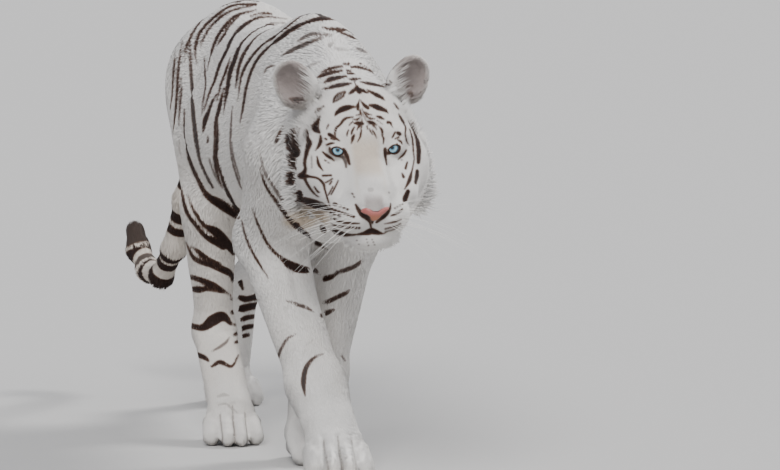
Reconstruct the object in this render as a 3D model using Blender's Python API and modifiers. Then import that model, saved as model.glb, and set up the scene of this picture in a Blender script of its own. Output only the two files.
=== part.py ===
"""A white tiger in mid-stride, life size, as a still display model.

Frame: metres, +Z up. The tiger walks towards -Y, so its left side is +X, and it stands on the plane Z = 0.
The body is one soft form, blended from rounded masses such as the ribcage, a thigh or a toe. It is meshed from
those masses, settled on their blended surface, thinned, and then parted with thin plane cuts into the pieces
that a person would name.
"""

import math

import bmesh
import bpy
import numpy as np
from mathutils import Euler, Matrix, Vector

# ---- Driving sizes ----------------------------------------------------------------------------------------
EYE_HEIGHT = 0.678
EYE_AHEAD = 0.475
HEAD_SIDE = -0.006
HEAD_YAW = math.radians(6.5)
HEAD_ROLL = math.radians(2.0)
HEAD_PITCH = math.radians(12.0)
EYE_SIDE = 0.0525
EYE_UP = 0.004
EYE_RADIUS = 0.0185
EYE_PROUD = 0.0065
EAR_SIDE = 0.112
EAR_SHIFT = -0.011
EAR_BEHIND_EYE = 0.135
EAR_ABOVE_EYE = 0.102
CUT_GAP = 0.0003

BODY_VOXEL = 0.008
EAR_VOXEL = 0.003
SETTLE_STEP = 0.006
FLOOR_SNAP = 0.0005

PART_COLLECTION = "white_tiger"
COAT_WHITE = (0.72, 0.69, 0.65)
EYE_BLUE = (0.30, 0.52, 0.66)
NOSE_PINK = (0.55, 0.24, 0.20)

SIDES = (("right", -1.0), ("left", 1.0))

# Each piece's triangles, and a point near its middle (side, ahead, up) that picks it out of the parted body.
BODY_PIECES = {
    "head": (1750, (-0.01, 0.42, 0.66)),
    "lower_jaw": (160, (-0.02, 0.55, 0.49)),
    "neck": (260, (0.0, 0.19, 0.72)),
    "torso": (1250, (0.0, -0.40, 0.66)),
    "foreleg_right": (190, (-0.07, 0.05, 0.32)),
    "foreleg_left": (190, (0.04, -0.05, 0.32)),
    "forepaw_right": (440, (-0.004, 0.19, 0.04)),
    "forepaw_left": (440, (-0.018, 0.02, 0.04)),
    "hindleg_right_shank": (160, (-0.13, -0.50, 0.36)),
    "hindleg_left_shank": (170, (0.07, -0.80, 0.35)),
    "hindpaw_right": (440, (-0.117, -0.37, 0.05)),
    "hindpaw_left": (440, (0.018, -0.97, 0.05)),
    "tail_base": (110, (-0.03, -1.07, 0.62)),
    "tail_middle": (110, (-0.08, -1.16, 0.38)),
    "tail_tip": (120, (-0.12, -1.36, 0.28)),
}


def at(side, ahead, up):
    """A point given as distance to the tiger's left, ahead of its withers, and above the ground."""
    return Vector((side, -ahead, up))


# ---- Rounded masses and the surface that blends them --------------------------------------------------------
class Ball:
    """An ellipsoid with radii across, ahead and up, turned by angles about X, Y and Z in degrees."""

    def __init__(self, centre, radii, turn=(0, 0, 0), blend=0.03):
        self.centre = Vector(centre)
        self.radii = np.array(radii, float)
        self.basis = Euler([math.radians(angle) for angle in turn]).to_matrix()
        self.blend = blend

    def moved(self, matrix):
        """A copy under a turn, a shift and an even scale."""
        copy = Ball(matrix @ self.centre, self.radii * matrix.median_scale, blend=self.blend)
        copy.basis = matrix.to_quaternion().to_matrix() @ self.basis
        return copy

    def distance(self, points):
        local = (points - np.array(self.centre)) @ np.array(self.basis)
        near = np.linalg.norm(local / self.radii, axis=1)
        slope = np.linalg.norm(local / self.radii**2, axis=1)
        return near * (near - 1) / np.maximum(slope, 1e-6)

    def add_to(self, bm):
        size = Matrix.Diagonal((*self.radii, 1.0))
        place = Matrix.Translation(self.centre) @ self.basis.to_4x4() @ size
        bmesh.ops.create_icosphere(bm, subdivisions=3, radius=1.0, matrix=place)


class Limb:
    """A tapering length with round ends. wide stretches its section along the direction across."""

    def __init__(self, start, end, start_radius, end_radius, wide=1.0, across=(1, 0, 0), blend=0.03):
        self.start, self.end = Vector(start), Vector(end)
        self.start_radius, self.end_radius = start_radius, end_radius
        self.wide = wide
        self.across = Vector(across).normalized()
        self.blend = blend

    def moved(self, matrix):
        """A copy under a turn, a shift and an even scale."""
        scale = matrix.median_scale
        ends = (matrix @ self.start, matrix @ self.end)
        radii = (self.start_radius * scale, self.end_radius * scale)
        return Limb(*ends, *radii, self.wide, matrix.to_quaternion() @ self.across, self.blend)

    def distance(self, points):
        start, run = np.array(self.start), np.array(self.end - self.start)
        along = np.clip((points - start) @ run / (run @ run), 0, 1)
        away = points - start - along[:, None] * run
        across = np.array(self.across)
        away += np.outer((away @ across) * (1 / self.wide - 1), across)
        radius = self.start_radius + (self.end_radius - self.start_radius) * along
        return np.linalg.norm(away, axis=1) - radius

    def add_to(self, bm):
        stretch = Matrix.Scale(self.wide, 4, self.across)
        thinnest = min(self.start_radius, self.end_radius)
        count = 2 + int((self.end - self.start).length / thinnest)
        for i in range(count):
            share = i / (count - 1)
            radius = self.start_radius + (self.end_radius - self.start_radius) * share
            place = Matrix.Translation(self.start.lerp(self.end, share)) @ stretch
            bmesh.ops.create_icosphere(bm, subdivisions=2, radius=radius, matrix=place)


def smooth_lowest(first, second, blend):
    """The lower of two distances, rounded over where they are within blend of each other."""
    share = np.clip(0.5 + 0.5 * (second - first) / blend, 0, 1)
    return second + (first - second) * share - blend * share * (1 - share)


def blended(masses, points, begin=None):
    """Signed distance to masses melted together, on top of a distance begun with."""
    found = begin
    for mass in masses:
        distance = mass.distance(points)
        found = distance if found is None else smooth_lowest(found, distance, mass.blend)
    return found


# ---- The tiger's masses -------------------------------------------------------------------------------------
def trunk_masses():
    return [
        Ball(at(0, -0.15, 0.68), (0.160, 0.32, 0.215), blend=0.06),
        Ball(at(0, -0.42, 0.655), (0.198, 0.29, 0.192), blend=0.08),
        Limb(at(0, -0.25, 0.76), at(0, -0.70, 0.775), 0.095, 0.108, 1.1, blend=0.08),
        Ball(at(0, -0.76, 0.740), (0.138, 0.21, 0.180), blend=0.07),
        Ball(at(0, -0.90, 0.72), (0.095, 0.12, 0.13), blend=0.07),
        Ball(at(0, -0.03, 0.755), (0.104, 0.20, 0.172), blend=0.05),
        Ball(at(0, 0.12, 0.61), (0.115, 0.15, 0.15), blend=0.07),
    ]


def neck_masses():
    return [
        Limb(at(0, 0.05, 0.73), at(0, 0.30, 0.690), 0.135, 0.122, 1.0, blend=0.07),
        Limb(at(0, 0.14, 0.63), at(0, 0.36, 0.60), 0.115, 0.085, 1.1, blend=0.07),
    ]


def head_frame():
    """From the level head's frame, with its origin between the eyes, to its place on the walking tiger."""
    turn = Euler((HEAD_PITCH, -HEAD_ROLL, -HEAD_YAW), "XYZ").to_matrix().to_4x4()
    return Matrix.Translation(at(HEAD_SIDE, EYE_AHEAD, EYE_HEIGHT)) @ turn


def head_masses():
    """The skull, cheeks, muzzle and jaw, in the level head's frame."""
    masses = [
        Ball(at(0, -0.135, 0.012), (0.098, 0.135, 0.092), blend=0.03),
        Ball(at(0, -0.060, 0.010), (0.080, 0.068, 0.060), blend=0.03),
        Limb(at(0, -0.030, 0.005), at(0, -0.090, 0.050), 0.038, 0.055, 1.45, blend=0.03),
        Limb(at(0, -0.02, -0.018), at(0, 0.100, -0.052), 0.037, 0.030, 1.30, blend=0.025),
        Ball(at(0, 0.065, -0.082), (0.058, 0.075, 0.050), blend=0.02),
        Ball(at(0, 0.131, -0.073), (0.029, 0.025, 0.026), blend=0.012),
        Ball(at(0, 0.081, -0.143), (0.045, 0.050, 0.032), blend=0.025),
        Ball(at(0, -0.07, -0.11), (0.085, 0.12, 0.075), blend=0.03),
    ]
    for _, sign in SIDES:
        masses += [
            Ball(at(sign * 0.074, -0.075, -0.050), (0.062, 0.095, 0.075), blend=0.03),
            Ball(at(sign * 0.060, 0.010, -0.072), (0.036, 0.075, 0.040), (0, 0, sign * 12), blend=0.03),
            Ball(at(sign * 0.098, -0.125, -0.078), (0.050, 0.065, 0.095), (0, sign * -12, 0), blend=0.03),
            Ball(at(sign * 0.035, 0.086, -0.102), (0.041, 0.054, 0.037), blend=0.012),
            Ball(at(sign * 0.050, -0.022, 0.025), (0.032, 0.024, 0.014), (0, sign * 5, 0), blend=0.030),
            Ball(at(sign * 0.0535, -0.005, 0.0170), (0.020, 0.012, 0.0055), (0, sign * 6, 0), blend=0.010),
            Ball(at(sign * 0.0525, -0.006, -0.0090), (0.019, 0.012, 0.005), (0, sign * 4, 0), blend=0.010),
            Limb(at(sign * 0.030, 0.07, -0.14), at(sign * 0.075, -0.08, -0.11), 0.028, 0.045, blend=0.025),
        ]
    return masses


def ear_frame(sign):
    """A frame at the middle of an ear, turned out and leaning out, in the level head's frame."""
    place = Matrix.Translation(at(sign * EAR_SIDE + EAR_SHIFT, -EAR_BEHIND_EYE, EAR_ABOVE_EYE))
    turn = Euler((math.radians(-6), math.radians(sign * 24), math.radians(sign * 18))).to_matrix()
    return place @ turn.to_4x4()


FORELEGS = {
    "right": {
        "scapula_top": at(-0.040, -0.01, 0.850),
        "shoulder": at(-0.105, 0.17, 0.66),
        "elbow": at(-0.105, -0.01, 0.465),
        "wrist": at(-0.030, 0.120, 0.175),
        "knuckles": at(-0.004, 0.173, 0.070),
        "heading": 4.0,
    },
    "left": {
        "scapula_top": at(0.040, -0.03, 0.845),
        "shoulder": at(0.092, 0.13, 0.64),
        "elbow": at(0.080, -0.085, 0.465),
        "wrist": at(0.012, -0.060, 0.175),
        "knuckles": at(-0.006, -0.030, 0.070),
        "heading": -10.0,
    },
}

HINDLEGS = {
    "right": {
        "hip": at(-0.090, -0.74, 0.73),
        "knee": at(-0.135, -0.48, 0.490),
        "hock": at(-0.120, -0.515, 0.220),
        "knuckles": at(-0.117, -0.345, 0.070),
        "heading": 6.0,
        "shank_from": 0.42,
    },
    "left": {
        "hip": at(0.090, -0.74, 0.73),
        "knee": at(0.110, -0.64, 0.440),
        "hock": at(0.018, -0.955, 0.260),
        "knuckles": at(0.002, -0.975, 0.072),
        "heading": 0.0,
        "shank_from": 0.20,
    },
}


def foreleg_masses(name):
    leg = FORELEGS[name]
    return [
        Limb(leg["scapula_top"], leg["shoulder"], 0.034, 0.070, blend=0.05),
        Limb(leg["shoulder"], leg["elbow"], 0.078, 0.066, 1.0, blend=0.05),
        Limb(leg["elbow"], leg["wrist"], 0.068, 0.055, 1.0, blend=0.04),
        Limb(leg["wrist"], leg["knuckles"], 0.055, 0.048, 1.15, blend=0.03),
    ]


def hindleg_masses(name):
    leg = HINDLEGS[name]
    thigh_back = leg["hip"] + at(0, -0.11, -0.03)
    calf = leg["hock"].lerp(leg["knee"], 0.58) + at(0, -0.03, 0)
    return [
        Limb(leg["hip"], leg["knee"], 0.130, 0.078, 0.72, blend=0.06),
        Limb(thigh_back, calf, 0.090, 0.050, 0.75, blend=0.06),
        Limb(leg["knee"], leg["hock"], 0.068, 0.043, 0.92, blend=0.04),
        Limb(leg["hock"], leg["knuckles"], 0.045, 0.044, 1.08, blend=0.03),
    ]


def paw_masses(knuckles, heading, size):
    """Four toes, a heel pad and the back of the foot, for a paw of that relative size."""
    turn = Matrix.Rotation(math.radians(-heading), 4, "Z")
    place = Matrix.Translation(Vector((knuckles.x, knuckles.y, 0))) @ turn @ Matrix.Scale(size, 4)
    masses = [
        Ball(at(0, 0.005, 0.052), (0.058, 0.060, 0.042), blend=0.02),
        Ball(at(0, -0.030, 0.026), (0.046, 0.042, 0.030), blend=0.015),
    ]
    for spread, reach in ((-1.5, 0.066), (-0.5, 0.092), (0.5, 0.095), (1.5, 0.070)):
        knuckle = at(spread * 0.029, reach - 0.045, 0.047)
        tip = at(spread * 0.033, reach, 0.021)
        masses.append(Limb(knuckle, tip, 0.0245, 0.0225, blend=0.006))
    return [mass.moved(place) for mass in masses]


TAIL_PATH = (
    (at(0.000, -0.93, 0.790), 0.048),
    (at(-0.012, -1.03, 0.700), 0.038),
    (at(-0.037, -1.085, 0.580), 0.033),
    (at(-0.068, -1.125, 0.450), 0.030),
    (at(-0.085, -1.18, 0.335), 0.0295),
    (at(-0.100, -1.26, 0.262), 0.029),
    (at(-0.115, -1.335, 0.265), 0.029),
    (at(-0.130, -1.39, 0.305), 0.0285),
    (at(-0.135, -1.405, 0.345), 0.0275),
)


def tail_masses():
    return [
        Limb(first, second, first_radius, second_radius, blend=0.02)
        for (first, first_radius), (second, second_radius) in zip(TAIL_PATH, TAIL_PATH[1:])
    ]


# ---- The whole body's surface -------------------------------------------------------------------------------
def body_groups():
    """The trunk's masses, then each group that melts into the trunk but not into the other groups."""
    head_place = head_frame()
    core = trunk_masses() + neck_masses()
    core += [mass.moved(head_place) for mass in head_masses()]
    legs = []
    for name, _ in SIDES:
        fore, hind = FORELEGS[name], HINDLEGS[name]
        legs.append(foreleg_masses(name) + paw_masses(fore["knuckles"], fore["heading"], 1.0))
        legs.append(hindleg_masses(name) + paw_masses(hind["knuckles"], hind["heading"], 0.92))
    return core, [*legs, tail_masses()]


def body_distance(points):
    core, groups = body_groups()
    trunk = blended(core, points)
    found = trunk
    for group in groups:
        found = np.minimum(found, smooth_lowest(trunk, blended(group, points), 0.045))
    return found


def evaluated(mesh, add_modifier):
    """The mesh as one modifier leaves it. add_modifier puts that modifier on an object that holds the mesh."""
    obj = bpy.data.objects.new("holder", mesh)
    bpy.context.scene.collection.objects.link(obj)
    add_modifier(obj)
    graph = bpy.context.evaluated_depsgraph_get()
    made = bpy.data.meshes.new_from_object(obj.evaluated_get(graph))
    bpy.data.objects.remove(obj)
    return made


def remeshed(mesh, voxel):
    """One even skin of quads of that size."""

    def add(obj):
        remesh = obj.modifiers.new("skin", "REMESH")
        remesh.mode = "VOXEL"
        remesh.voxel_size = voxel

    return evaluated(mesh, add)


def thinned(mesh, triangles):
    """The same shape in about that many triangles."""

    def add(obj):
        decimate = obj.modifiers.new("thin", "DECIMATE")
        decimate.ratio = min(1.0, triangles / sum(len(face.vertices) - 2 for face in mesh.polygons))
        decimate.use_collapse_triangulate = True

    return evaluated(mesh, add)


def carved(mesh, tool, operation):
    """The mesh with a solid tool taken out of it, or only what the two share."""
    cutter = bpy.data.objects.new("cutter", tool)
    bpy.context.scene.collection.objects.link(cutter)

    def add(obj):
        cut = obj.modifiers.new("cut", "BOOLEAN")
        cut.operation = operation
        cut.solver = "EXACT"
        cut.object = cutter

    made = evaluated(mesh, add)
    bpy.data.objects.remove(cutter)
    return made


def settle(mesh, distance, rounds):
    """Moves each point along its normal until it lies on the surface where that distance is nought."""
    count = len(mesh.vertices)
    points = np.empty(count * 3, np.float32)
    normals = np.empty(count * 3, np.float32)
    for _ in range(rounds):
        mesh.vertices.foreach_get("co", points)
        mesh.vertices.foreach_get("normal", normals)
        place = points.reshape(-1, 3).astype(float)
        out = normals.reshape(-1, 3).astype(float)
        here = distance(place)
        slope = (distance(place + out * 0.001) - here) / 0.001
        step = np.clip(here / np.clip(slope, 0.4, 2.0), -SETTLE_STEP, SETTLE_STEP)
        place -= out * step[:, None]
        mesh.vertices.foreach_set("co", place.astype(np.float32).ravel())
        mesh.update()


def mesh_of(masses):
    bm = bmesh.new()
    for mass in masses:
        mass.add_to(bm)
    mesh = bpy.data.meshes.new("masses")
    bm.to_mesh(mesh)
    bm.free()
    return mesh


def refined(mesh, centre, reach):
    """The mesh with its faces near a point divided once."""
    bm = bmesh.new()
    bm.from_mesh(mesh)
    near = [edge for edge in bm.edges if all((v.co - centre).length < reach for v in edge.verts)]
    bmesh.ops.subdivide_edges(bm, edges=near, cuts=1, use_grid_fill=True)
    bm.to_mesh(mesh)
    bm.free()
    return mesh


def whole_body():
    core, groups = body_groups()
    body = remeshed(mesh_of([*core, *(mass for group in groups for mass in group)]), BODY_VOXEL)
    settle(body, body_distance, 4)
    body = remeshed(body, BODY_VOXEL)
    settle(body, body_distance, 2)
    body = refined(body, head_frame() @ at(0, 0.045, -0.05), 0.135)
    settle(body, body_distance, 2)
    return body


# ---- Parting the body into named pieces ---------------------------------------------------------------------
def flatten_soles(bm):
    """Cuts the body off at the ground, so that each paw stands on a flat."""
    everything = bm.verts[:] + bm.edges[:] + bm.faces[:]
    bmesh.ops.bisect_plane(bm, geom=everything, plane_co=(0, 0, 0), plane_no=(0, 0, -1), clear_outer=True)
    close_holes(bm)


def close_holes(bm):
    bmesh.ops.holes_fill(bm, edges=[edge for edge in bm.edges if edge.is_boundary], sides=0)


def slot(bm, point, normal, reach):
    """Takes out a thin slot on a plane through the point, as far as that reach."""
    normal = normal.normalized()
    for shift in (-CUT_GAP / 2, CUT_GAP / 2):
        near = [face for face in bm.faces if (face.calc_center_median() - point).length < reach]
        parts = {part for face in near for part in (face, *face.edges, *face.verts)}
        bmesh.ops.bisect_plane(
            bm, geom=list(parts), dist=1e-6, plane_co=point + normal * shift, plane_no=normal
        )
    inside = [
        face
        for face in bm.faces
        if (face.calc_center_median() - point).length < reach
        and all(abs((v.co - point).dot(normal)) < CUT_GAP / 2 + 2e-6 for v in face.verts)
    ]
    bmesh.ops.delete(bm, geom=inside, context="FACES")
    close_holes(bm)


def body_slots():
    """Each slot's middle, direction and reach."""
    head = head_frame()
    level = head.to_3x3()
    slots = [
        (head @ at(0, -0.215, -0.04), level @ at(0, 1, 0.10), 0.24),
        (head @ at(0, 0.045, -0.158), level @ at(0, -0.45, 1), 0.135),
        (at(0, 0.120, 0.760), at(0, 0.96, 0.28), 0.33),
        (at(-0.022, -1.052, 0.650), at(-0.025, -0.055, -0.12), 0.10),
        (at(-0.068, -1.125, 0.45), at(-0.15, -0.40, -1), 0.07),
        (at(-0.100, -1.26, 0.262), at(-0.15, -1, -0.35), 0.06),
    ]
    for name, _ in SIDES:
        fore, hind = FORELEGS[name], HINDLEGS[name]
        shin = fore["wrist"] - fore["elbow"]
        slots += [
            (fore["elbow"].lerp(fore["wrist"], 0.12), at(0, 0, -1), 0.10),
            (fore["wrist"].lerp(fore["knuckles"], 0.15), shin + at(0, 0.06, 0), 0.085),
            (hind["knee"].lerp(hind["hock"], hind["shank_from"]), at(0, -0.1, -1), 0.20),
            (hind["hock"].lerp(hind["knuckles"], 0.18), hind["knuckles"] - hind["hock"], 0.075),
        ]
    return slots


def loose_parts(bm):
    """Lists of faces, one list for each part that isn't joined to the rest."""
    left = set(bm.faces)
    parts = []
    while left:
        first = left.pop()
        part, waiting = [first], [first]
        while waiting:
            for edge in waiting.pop().edges:
                for face in edge.link_faces:
                    if face in left:
                        left.remove(face)
                        part.append(face)
                        waiting.append(face)
        parts.append(part)
    return parts


def middle(faces):
    return sum((face.verts[0].co for face in faces), Vector()) / len(faces)


def mesh_from_faces(faces, name):
    bm = bmesh.new()
    copies = {}
    for face in faces:
        for vert in face.verts:
            if vert not in copies:
                copies[vert] = bm.verts.new(vert.co)
        bm.faces.new([copies[vert] for vert in face.verts])
    bmesh.ops.recalc_face_normals(bm, faces=bm.faces[:])
    mesh = bpy.data.meshes.new(name)
    bm.to_mesh(mesh)
    bm.free()
    return mesh


def parted_body():
    """The body's pieces as meshes by name."""
    bm = bmesh.new()
    bm.from_mesh(whole_body())
    flatten_soles(bm)
    for point, normal, reach in body_slots():
        slot(bm, point, normal, reach)
    parts = loose_parts(bm)
    pieces = {}
    for name, (triangles, marker) in BODY_PIECES.items():
        nearest = min(parts, key=lambda part: (middle(part) - at(*marker)).length)
        parts.remove(nearest)
        pieces[name] = thinned(mesh_from_faces(nearest, name), triangles)
    bm.free()
    return pieces


def block(centre, size, turn=(0, 0, 0)):
    bm = bmesh.new()
    place = Matrix.Translation(centre) @ Euler([math.radians(a) for a in turn]).to_matrix().to_4x4()
    bmesh.ops.create_cube(bm, size=1.0, matrix=place @ Matrix.Diagonal((*size, 1.0)))
    mesh = bpy.data.meshes.new("block")
    bm.to_mesh(mesh)
    bm.free()
    return mesh


def globe(centre, radius, subdivisions=3):
    bm = bmesh.new()
    place = Matrix.Translation(centre)
    bmesh.ops.create_icosphere(bm, subdivisions=subdivisions, radius=radius, matrix=place)
    mesh = bpy.data.meshes.new("globe")
    bm.to_mesh(mesh)
    bm.free()
    return mesh


def swollen(mesh, by):
    """A copy of the mesh grown outwards by that much."""
    copy = mesh.copy()
    for vert, normal in zip(copy.vertices, [v.normal.copy() for v in mesh.vertices]):
        vert.co += normal * by
    return copy


# ---- Ears, eyes and nose ------------------------------------------------------------------------------------
def ear_mesh(sign):
    """A rounded cup, open to the front."""
    place = head_frame() @ ear_frame(sign)
    outer = Ball(at(0, 0, -0.004), (0.0425, 0.024, 0.052)).moved(place)
    hollow = Ball(at(0, 0.019, 0.003), (0.0365, 0.028, 0.042)).moved(place)

    def distance(points):
        return -smooth_lowest(-outer.distance(points), hollow.distance(points), 0.004)

    mesh = carved(mesh_of([outer]), mesh_of([hollow]), "DIFFERENCE")
    mesh = remeshed(mesh, EAR_VOXEL)
    settle(mesh, distance, 2)
    return mesh


def eye_centre(sign):
    """The middle of an eyeball that stands a little proud of the face."""
    head = head_frame()
    ahead = 0.08
    while body_distance(np.array([head @ at(sign * EYE_SIDE, ahead, EYE_UP)]))[0] > 0:
        ahead -= 0.0005
    return head @ at(sign * EYE_SIDE, ahead + EYE_PROUD - EYE_RADIUS, EYE_UP)


def add_face(pieces):
    head = pieces["head"]
    for name, sign in SIDES:
        ear = thinned(ear_mesh(sign), 300)
        pieces["ear_" + name] = carved(ear, swollen(pieces["head"], 2 * CUT_GAP), "DIFFERENCE")
        eye = eye_centre(sign)
        head = carved(head, globe(eye, EYE_RADIUS + CUT_GAP), "DIFFERENCE")
        pieces["eye_" + name] = globe(eye, EYE_RADIUS)
    frame = head_frame()
    place, size, turn = frame @ at(0, 0.158, -0.082), (0.046, 0.042, 0.042), (-14, 0, -6.5)
    pieces["nose"] = carved(head, block(place, size, turn), "INTERSECT")
    roomy = [length + 2 * CUT_GAP for length in size]
    pieces["head"] = carved(head, block(place, roomy, turn), "DIFFERENCE")


def plate(outline, sign, inner, outer, grow=0.0):
    """A solid with a convex outline of (ahead, up) corners, from one distance out from the midline to another."""
    middle_ahead = sum(ahead for ahead, _ in outline) / len(outline)
    middle_up = sum(up for _, up in outline) / len(outline)
    corners = []
    for ahead, up in outline:
        away = Vector((ahead - middle_ahead, up - middle_up))
        away += away.normalized() * grow
        corners.append((middle_ahead + away.x, middle_up + away.y))
    bm = bmesh.new()
    face = bm.faces.new([bm.verts.new(at(sign * (inner - grow), *corner)) for corner in corners])
    raised = bmesh.ops.extrude_face_region(bm, geom=[face], use_keep_orig=True)["geom"]
    moving = [part for part in raised if isinstance(part, bmesh.types.BMVert)]
    bmesh.ops.translate(bm, vec=at(sign * (outer - inner + grow), 0, 0), verts=moving)
    bmesh.ops.recalc_face_normals(bm, faces=bm.faces[:])
    mesh = bpy.data.meshes.new("plate")
    bm.to_mesh(mesh)
    bm.free()
    return mesh


SHOULDER_OUTLINE = ((0.20, 0.40), (-0.13, 0.40), (-0.15, 0.56), (-0.07, 0.76), (0.04, 0.76), (0.18, 0.64))
THIGH_OUTLINE = ((-0.34, 0.30), (-0.34, 0.46), (-0.52, 0.72), (-0.70, 0.80), (-0.92, 0.80), (-1.02, 0.62), (-1.02, 0.30))


def add_upper_legs(pieces):
    """Parts the shoulders and thighs from the torso."""
    torso = pieces["torso"]
    for name, sign in SIDES:
        for piece, outline, inner in (("shoulder_", SHOULDER_OUTLINE, 0.030), ("thigh_", THIGH_OUTLINE, 0.0006)):
            pieces[piece + name] = carved(torso, plate(outline, sign, inner, 0.35), "INTERSECT")
            torso = carved(torso, plate(outline, sign, inner, 0.36, 1.5 * CUT_GAP), "DIFFERENCE")
    pieces["torso"] = torso


def material(name, colour, roughness):
    made = bpy.data.materials.new(name)
    made.use_nodes = True
    shader = made.node_tree.nodes["Principled BSDF"]
    shader.inputs["Base Color"].default_value = (*colour, 1.0)
    shader.inputs["Roughness"].default_value = roughness
    return made


def finish_piece(name, mesh, collection):
    if name.startswith("eye"):
        look = material(name + "_glass", EYE_BLUE, 0.1)
    elif name == "nose":
        look = material(name + "_skin", NOSE_PINK, 0.5)
    else:
        look = material(name + "_coat", COAT_WHITE, 0.8)
    mesh.materials.clear()
    mesh.materials.append(look)
    for vert in mesh.vertices:
        if vert.co.z < FLOOR_SNAP:
            vert.co.z = 0.0
    collection.objects.link(bpy.data.objects.new(name, mesh))


def stand_on_origin(meshes):
    """Moves the whole tiger so that the origin is on the ground under the middle of its bounding box."""
    points = np.array([vert.co for mesh in meshes for vert in mesh.vertices])
    middle_x, middle_y = (points.min(axis=0) + points.max(axis=0))[:2] / 2
    for mesh in meshes:
        mesh.transform(Matrix.Translation((-middle_x, -middle_y, 0)))


def clear_scene():
    for obj in list(bpy.data.objects):
        bpy.data.objects.remove(obj)


def main():
    clear_scene()
    collection = bpy.data.collections.new(PART_COLLECTION)
    bpy.context.scene.collection.children.link(collection)
    pieces = parted_body()
    add_face(pieces)
    add_upper_legs(pieces)
    stand_on_origin(pieces.values())
    for name, mesh in pieces.items():
        finish_piece(name, mesh, collection)


main()
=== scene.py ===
import math

import bmesh
import bpy
import numpy as np
from mathutils import Euler, Matrix, Vector
from mathutils.bvhtree import BVHTree


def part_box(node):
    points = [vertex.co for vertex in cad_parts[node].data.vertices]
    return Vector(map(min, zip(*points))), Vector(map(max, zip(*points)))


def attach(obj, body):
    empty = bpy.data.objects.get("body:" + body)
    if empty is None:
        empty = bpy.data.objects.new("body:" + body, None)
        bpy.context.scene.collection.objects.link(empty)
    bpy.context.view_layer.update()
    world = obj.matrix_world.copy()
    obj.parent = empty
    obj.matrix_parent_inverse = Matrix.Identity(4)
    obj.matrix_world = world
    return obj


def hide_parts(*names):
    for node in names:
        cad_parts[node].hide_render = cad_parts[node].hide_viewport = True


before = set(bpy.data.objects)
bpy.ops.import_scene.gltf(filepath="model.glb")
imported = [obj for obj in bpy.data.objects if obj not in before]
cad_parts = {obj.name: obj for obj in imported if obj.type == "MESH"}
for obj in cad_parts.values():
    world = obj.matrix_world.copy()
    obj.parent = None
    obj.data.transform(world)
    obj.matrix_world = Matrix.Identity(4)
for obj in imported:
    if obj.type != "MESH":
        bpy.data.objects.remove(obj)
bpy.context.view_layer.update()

# A white tiger in mid-stride: one skin under a coat of locks, with eyes, lids, nose pad and whiskers of their own.
# The pieces are shaped about the point on the ground under the withers, with the tiger's left at +X and its way
# ahead at -Y, and are moved to the model's frame when they are finished.

rng = np.random.default_rng(7)

HEAD_SIDE, EYE_AHEAD, EYE_HEIGHT = -0.006, 0.475, 0.678
HEAD_TURN = (12.0, -2.0, -6.5)
EYE_SIDE, EYE_UP, EYE_RADIUS, EYE_PROUD = 0.0525, 0.004, 0.0185, 0.0065
SIDES = (("right", -1.0), ("left", 1.0))

CENTIMETRE = 0.01
SKIN_VOXEL = 0.010
EAR_VOXEL = 0.003
EAR_SKIN = 0.0012
# The farthest that a point moves in one round of settling, and how far off the slope there is read.
SETTLE_STEP, PROBE = 0.006, 0.001
LOWEST_SKIN, LOWEST_LOCK = 0.0004, 0.0006


def at(side, ahead, up):
    """A point given as distance to the tiger's left, ahead of its withers, and above the ground."""
    return Vector((side, -ahead, up))


def carried(points, matrix):
    """Points taken through a matrix of four rows."""
    return points @ matrix[:3, :3].T + matrix[:3, 3]


def between(first, second, share):
    return first * (1 - share) + second * share


def ramp(value, low, high):
    """0 at low, 1 at high, eased at both ends."""
    share = np.clip((value - low) / (high - low), 0, 1)
    return share * share * (3 - 2 * share)


# ---- Rounded masses and the surface that blends them ---------------------------------------------------------
class Ball:
    """An ellipsoid with radii across, ahead and up, turned by angles about X, Y and Z in degrees."""

    def __init__(self, centre, radii, turn=(0, 0, 0), blend=0.03):
        self.centre = Vector(centre)
        self.radii = np.array(radii, float)
        self.basis = Euler([math.radians(angle) for angle in turn]).to_matrix()
        self.blend = blend

    def moved(self, matrix):
        copy = Ball(matrix @ self.centre, self.radii * matrix.median_scale, blend=self.blend)
        copy.basis = matrix.to_quaternion().to_matrix() @ self.basis
        return copy

    def distance(self, points):
        local = (points - np.array(self.centre)) @ np.array(self.basis)
        near = np.linalg.norm(local / self.radii, axis=1)
        slope = np.linalg.norm(local / self.radii**2, axis=1)
        return near * (near - 1) / np.maximum(slope, 1e-6)


class Limb:
    """A tapering length with round ends. wide stretches its section along the direction across."""

    def __init__(self, start, end, start_radius, end_radius, wide=1.0, across=(1, 0, 0), blend=0.03):
        self.start, self.end = Vector(start), Vector(end)
        self.start_radius, self.end_radius = start_radius, end_radius
        self.wide = wide
        self.across = Vector(across).normalized()
        self.blend = blend

    def moved(self, matrix):
        scale = matrix.median_scale
        ends = (matrix @ self.start, matrix @ self.end)
        radii = (self.start_radius * scale, self.end_radius * scale)
        return Limb(*ends, *radii, self.wide, matrix.to_quaternion() @ self.across, self.blend)

    def distance(self, points):
        start, run = np.array(self.start), np.array(self.end - self.start)
        along = np.clip((points - start) @ run / (run @ run), 0, 1)
        away = points - start - along[:, None] * run
        across = np.array(self.across)
        away += np.outer((away @ across) * (1 / self.wide - 1), across)
        radius = self.start_radius + (self.end_radius - self.start_radius) * along
        return np.linalg.norm(away, axis=1) - radius


def smooth_lowest(first, second, blend):
    """The lower of two distances, rounded over where they are within blend of each other."""
    share = np.clip(0.5 + 0.5 * (second - first) / blend, 0, 1)
    return second + (first - second) * share - blend * share * (1 - share)


def blended(masses, points):
    """Distance to masses melted together."""
    found = masses[0].distance(points)
    for mass in masses[1:]:
        found = smooth_lowest(found, mass.distance(points), mass.blend)
    return found


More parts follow.
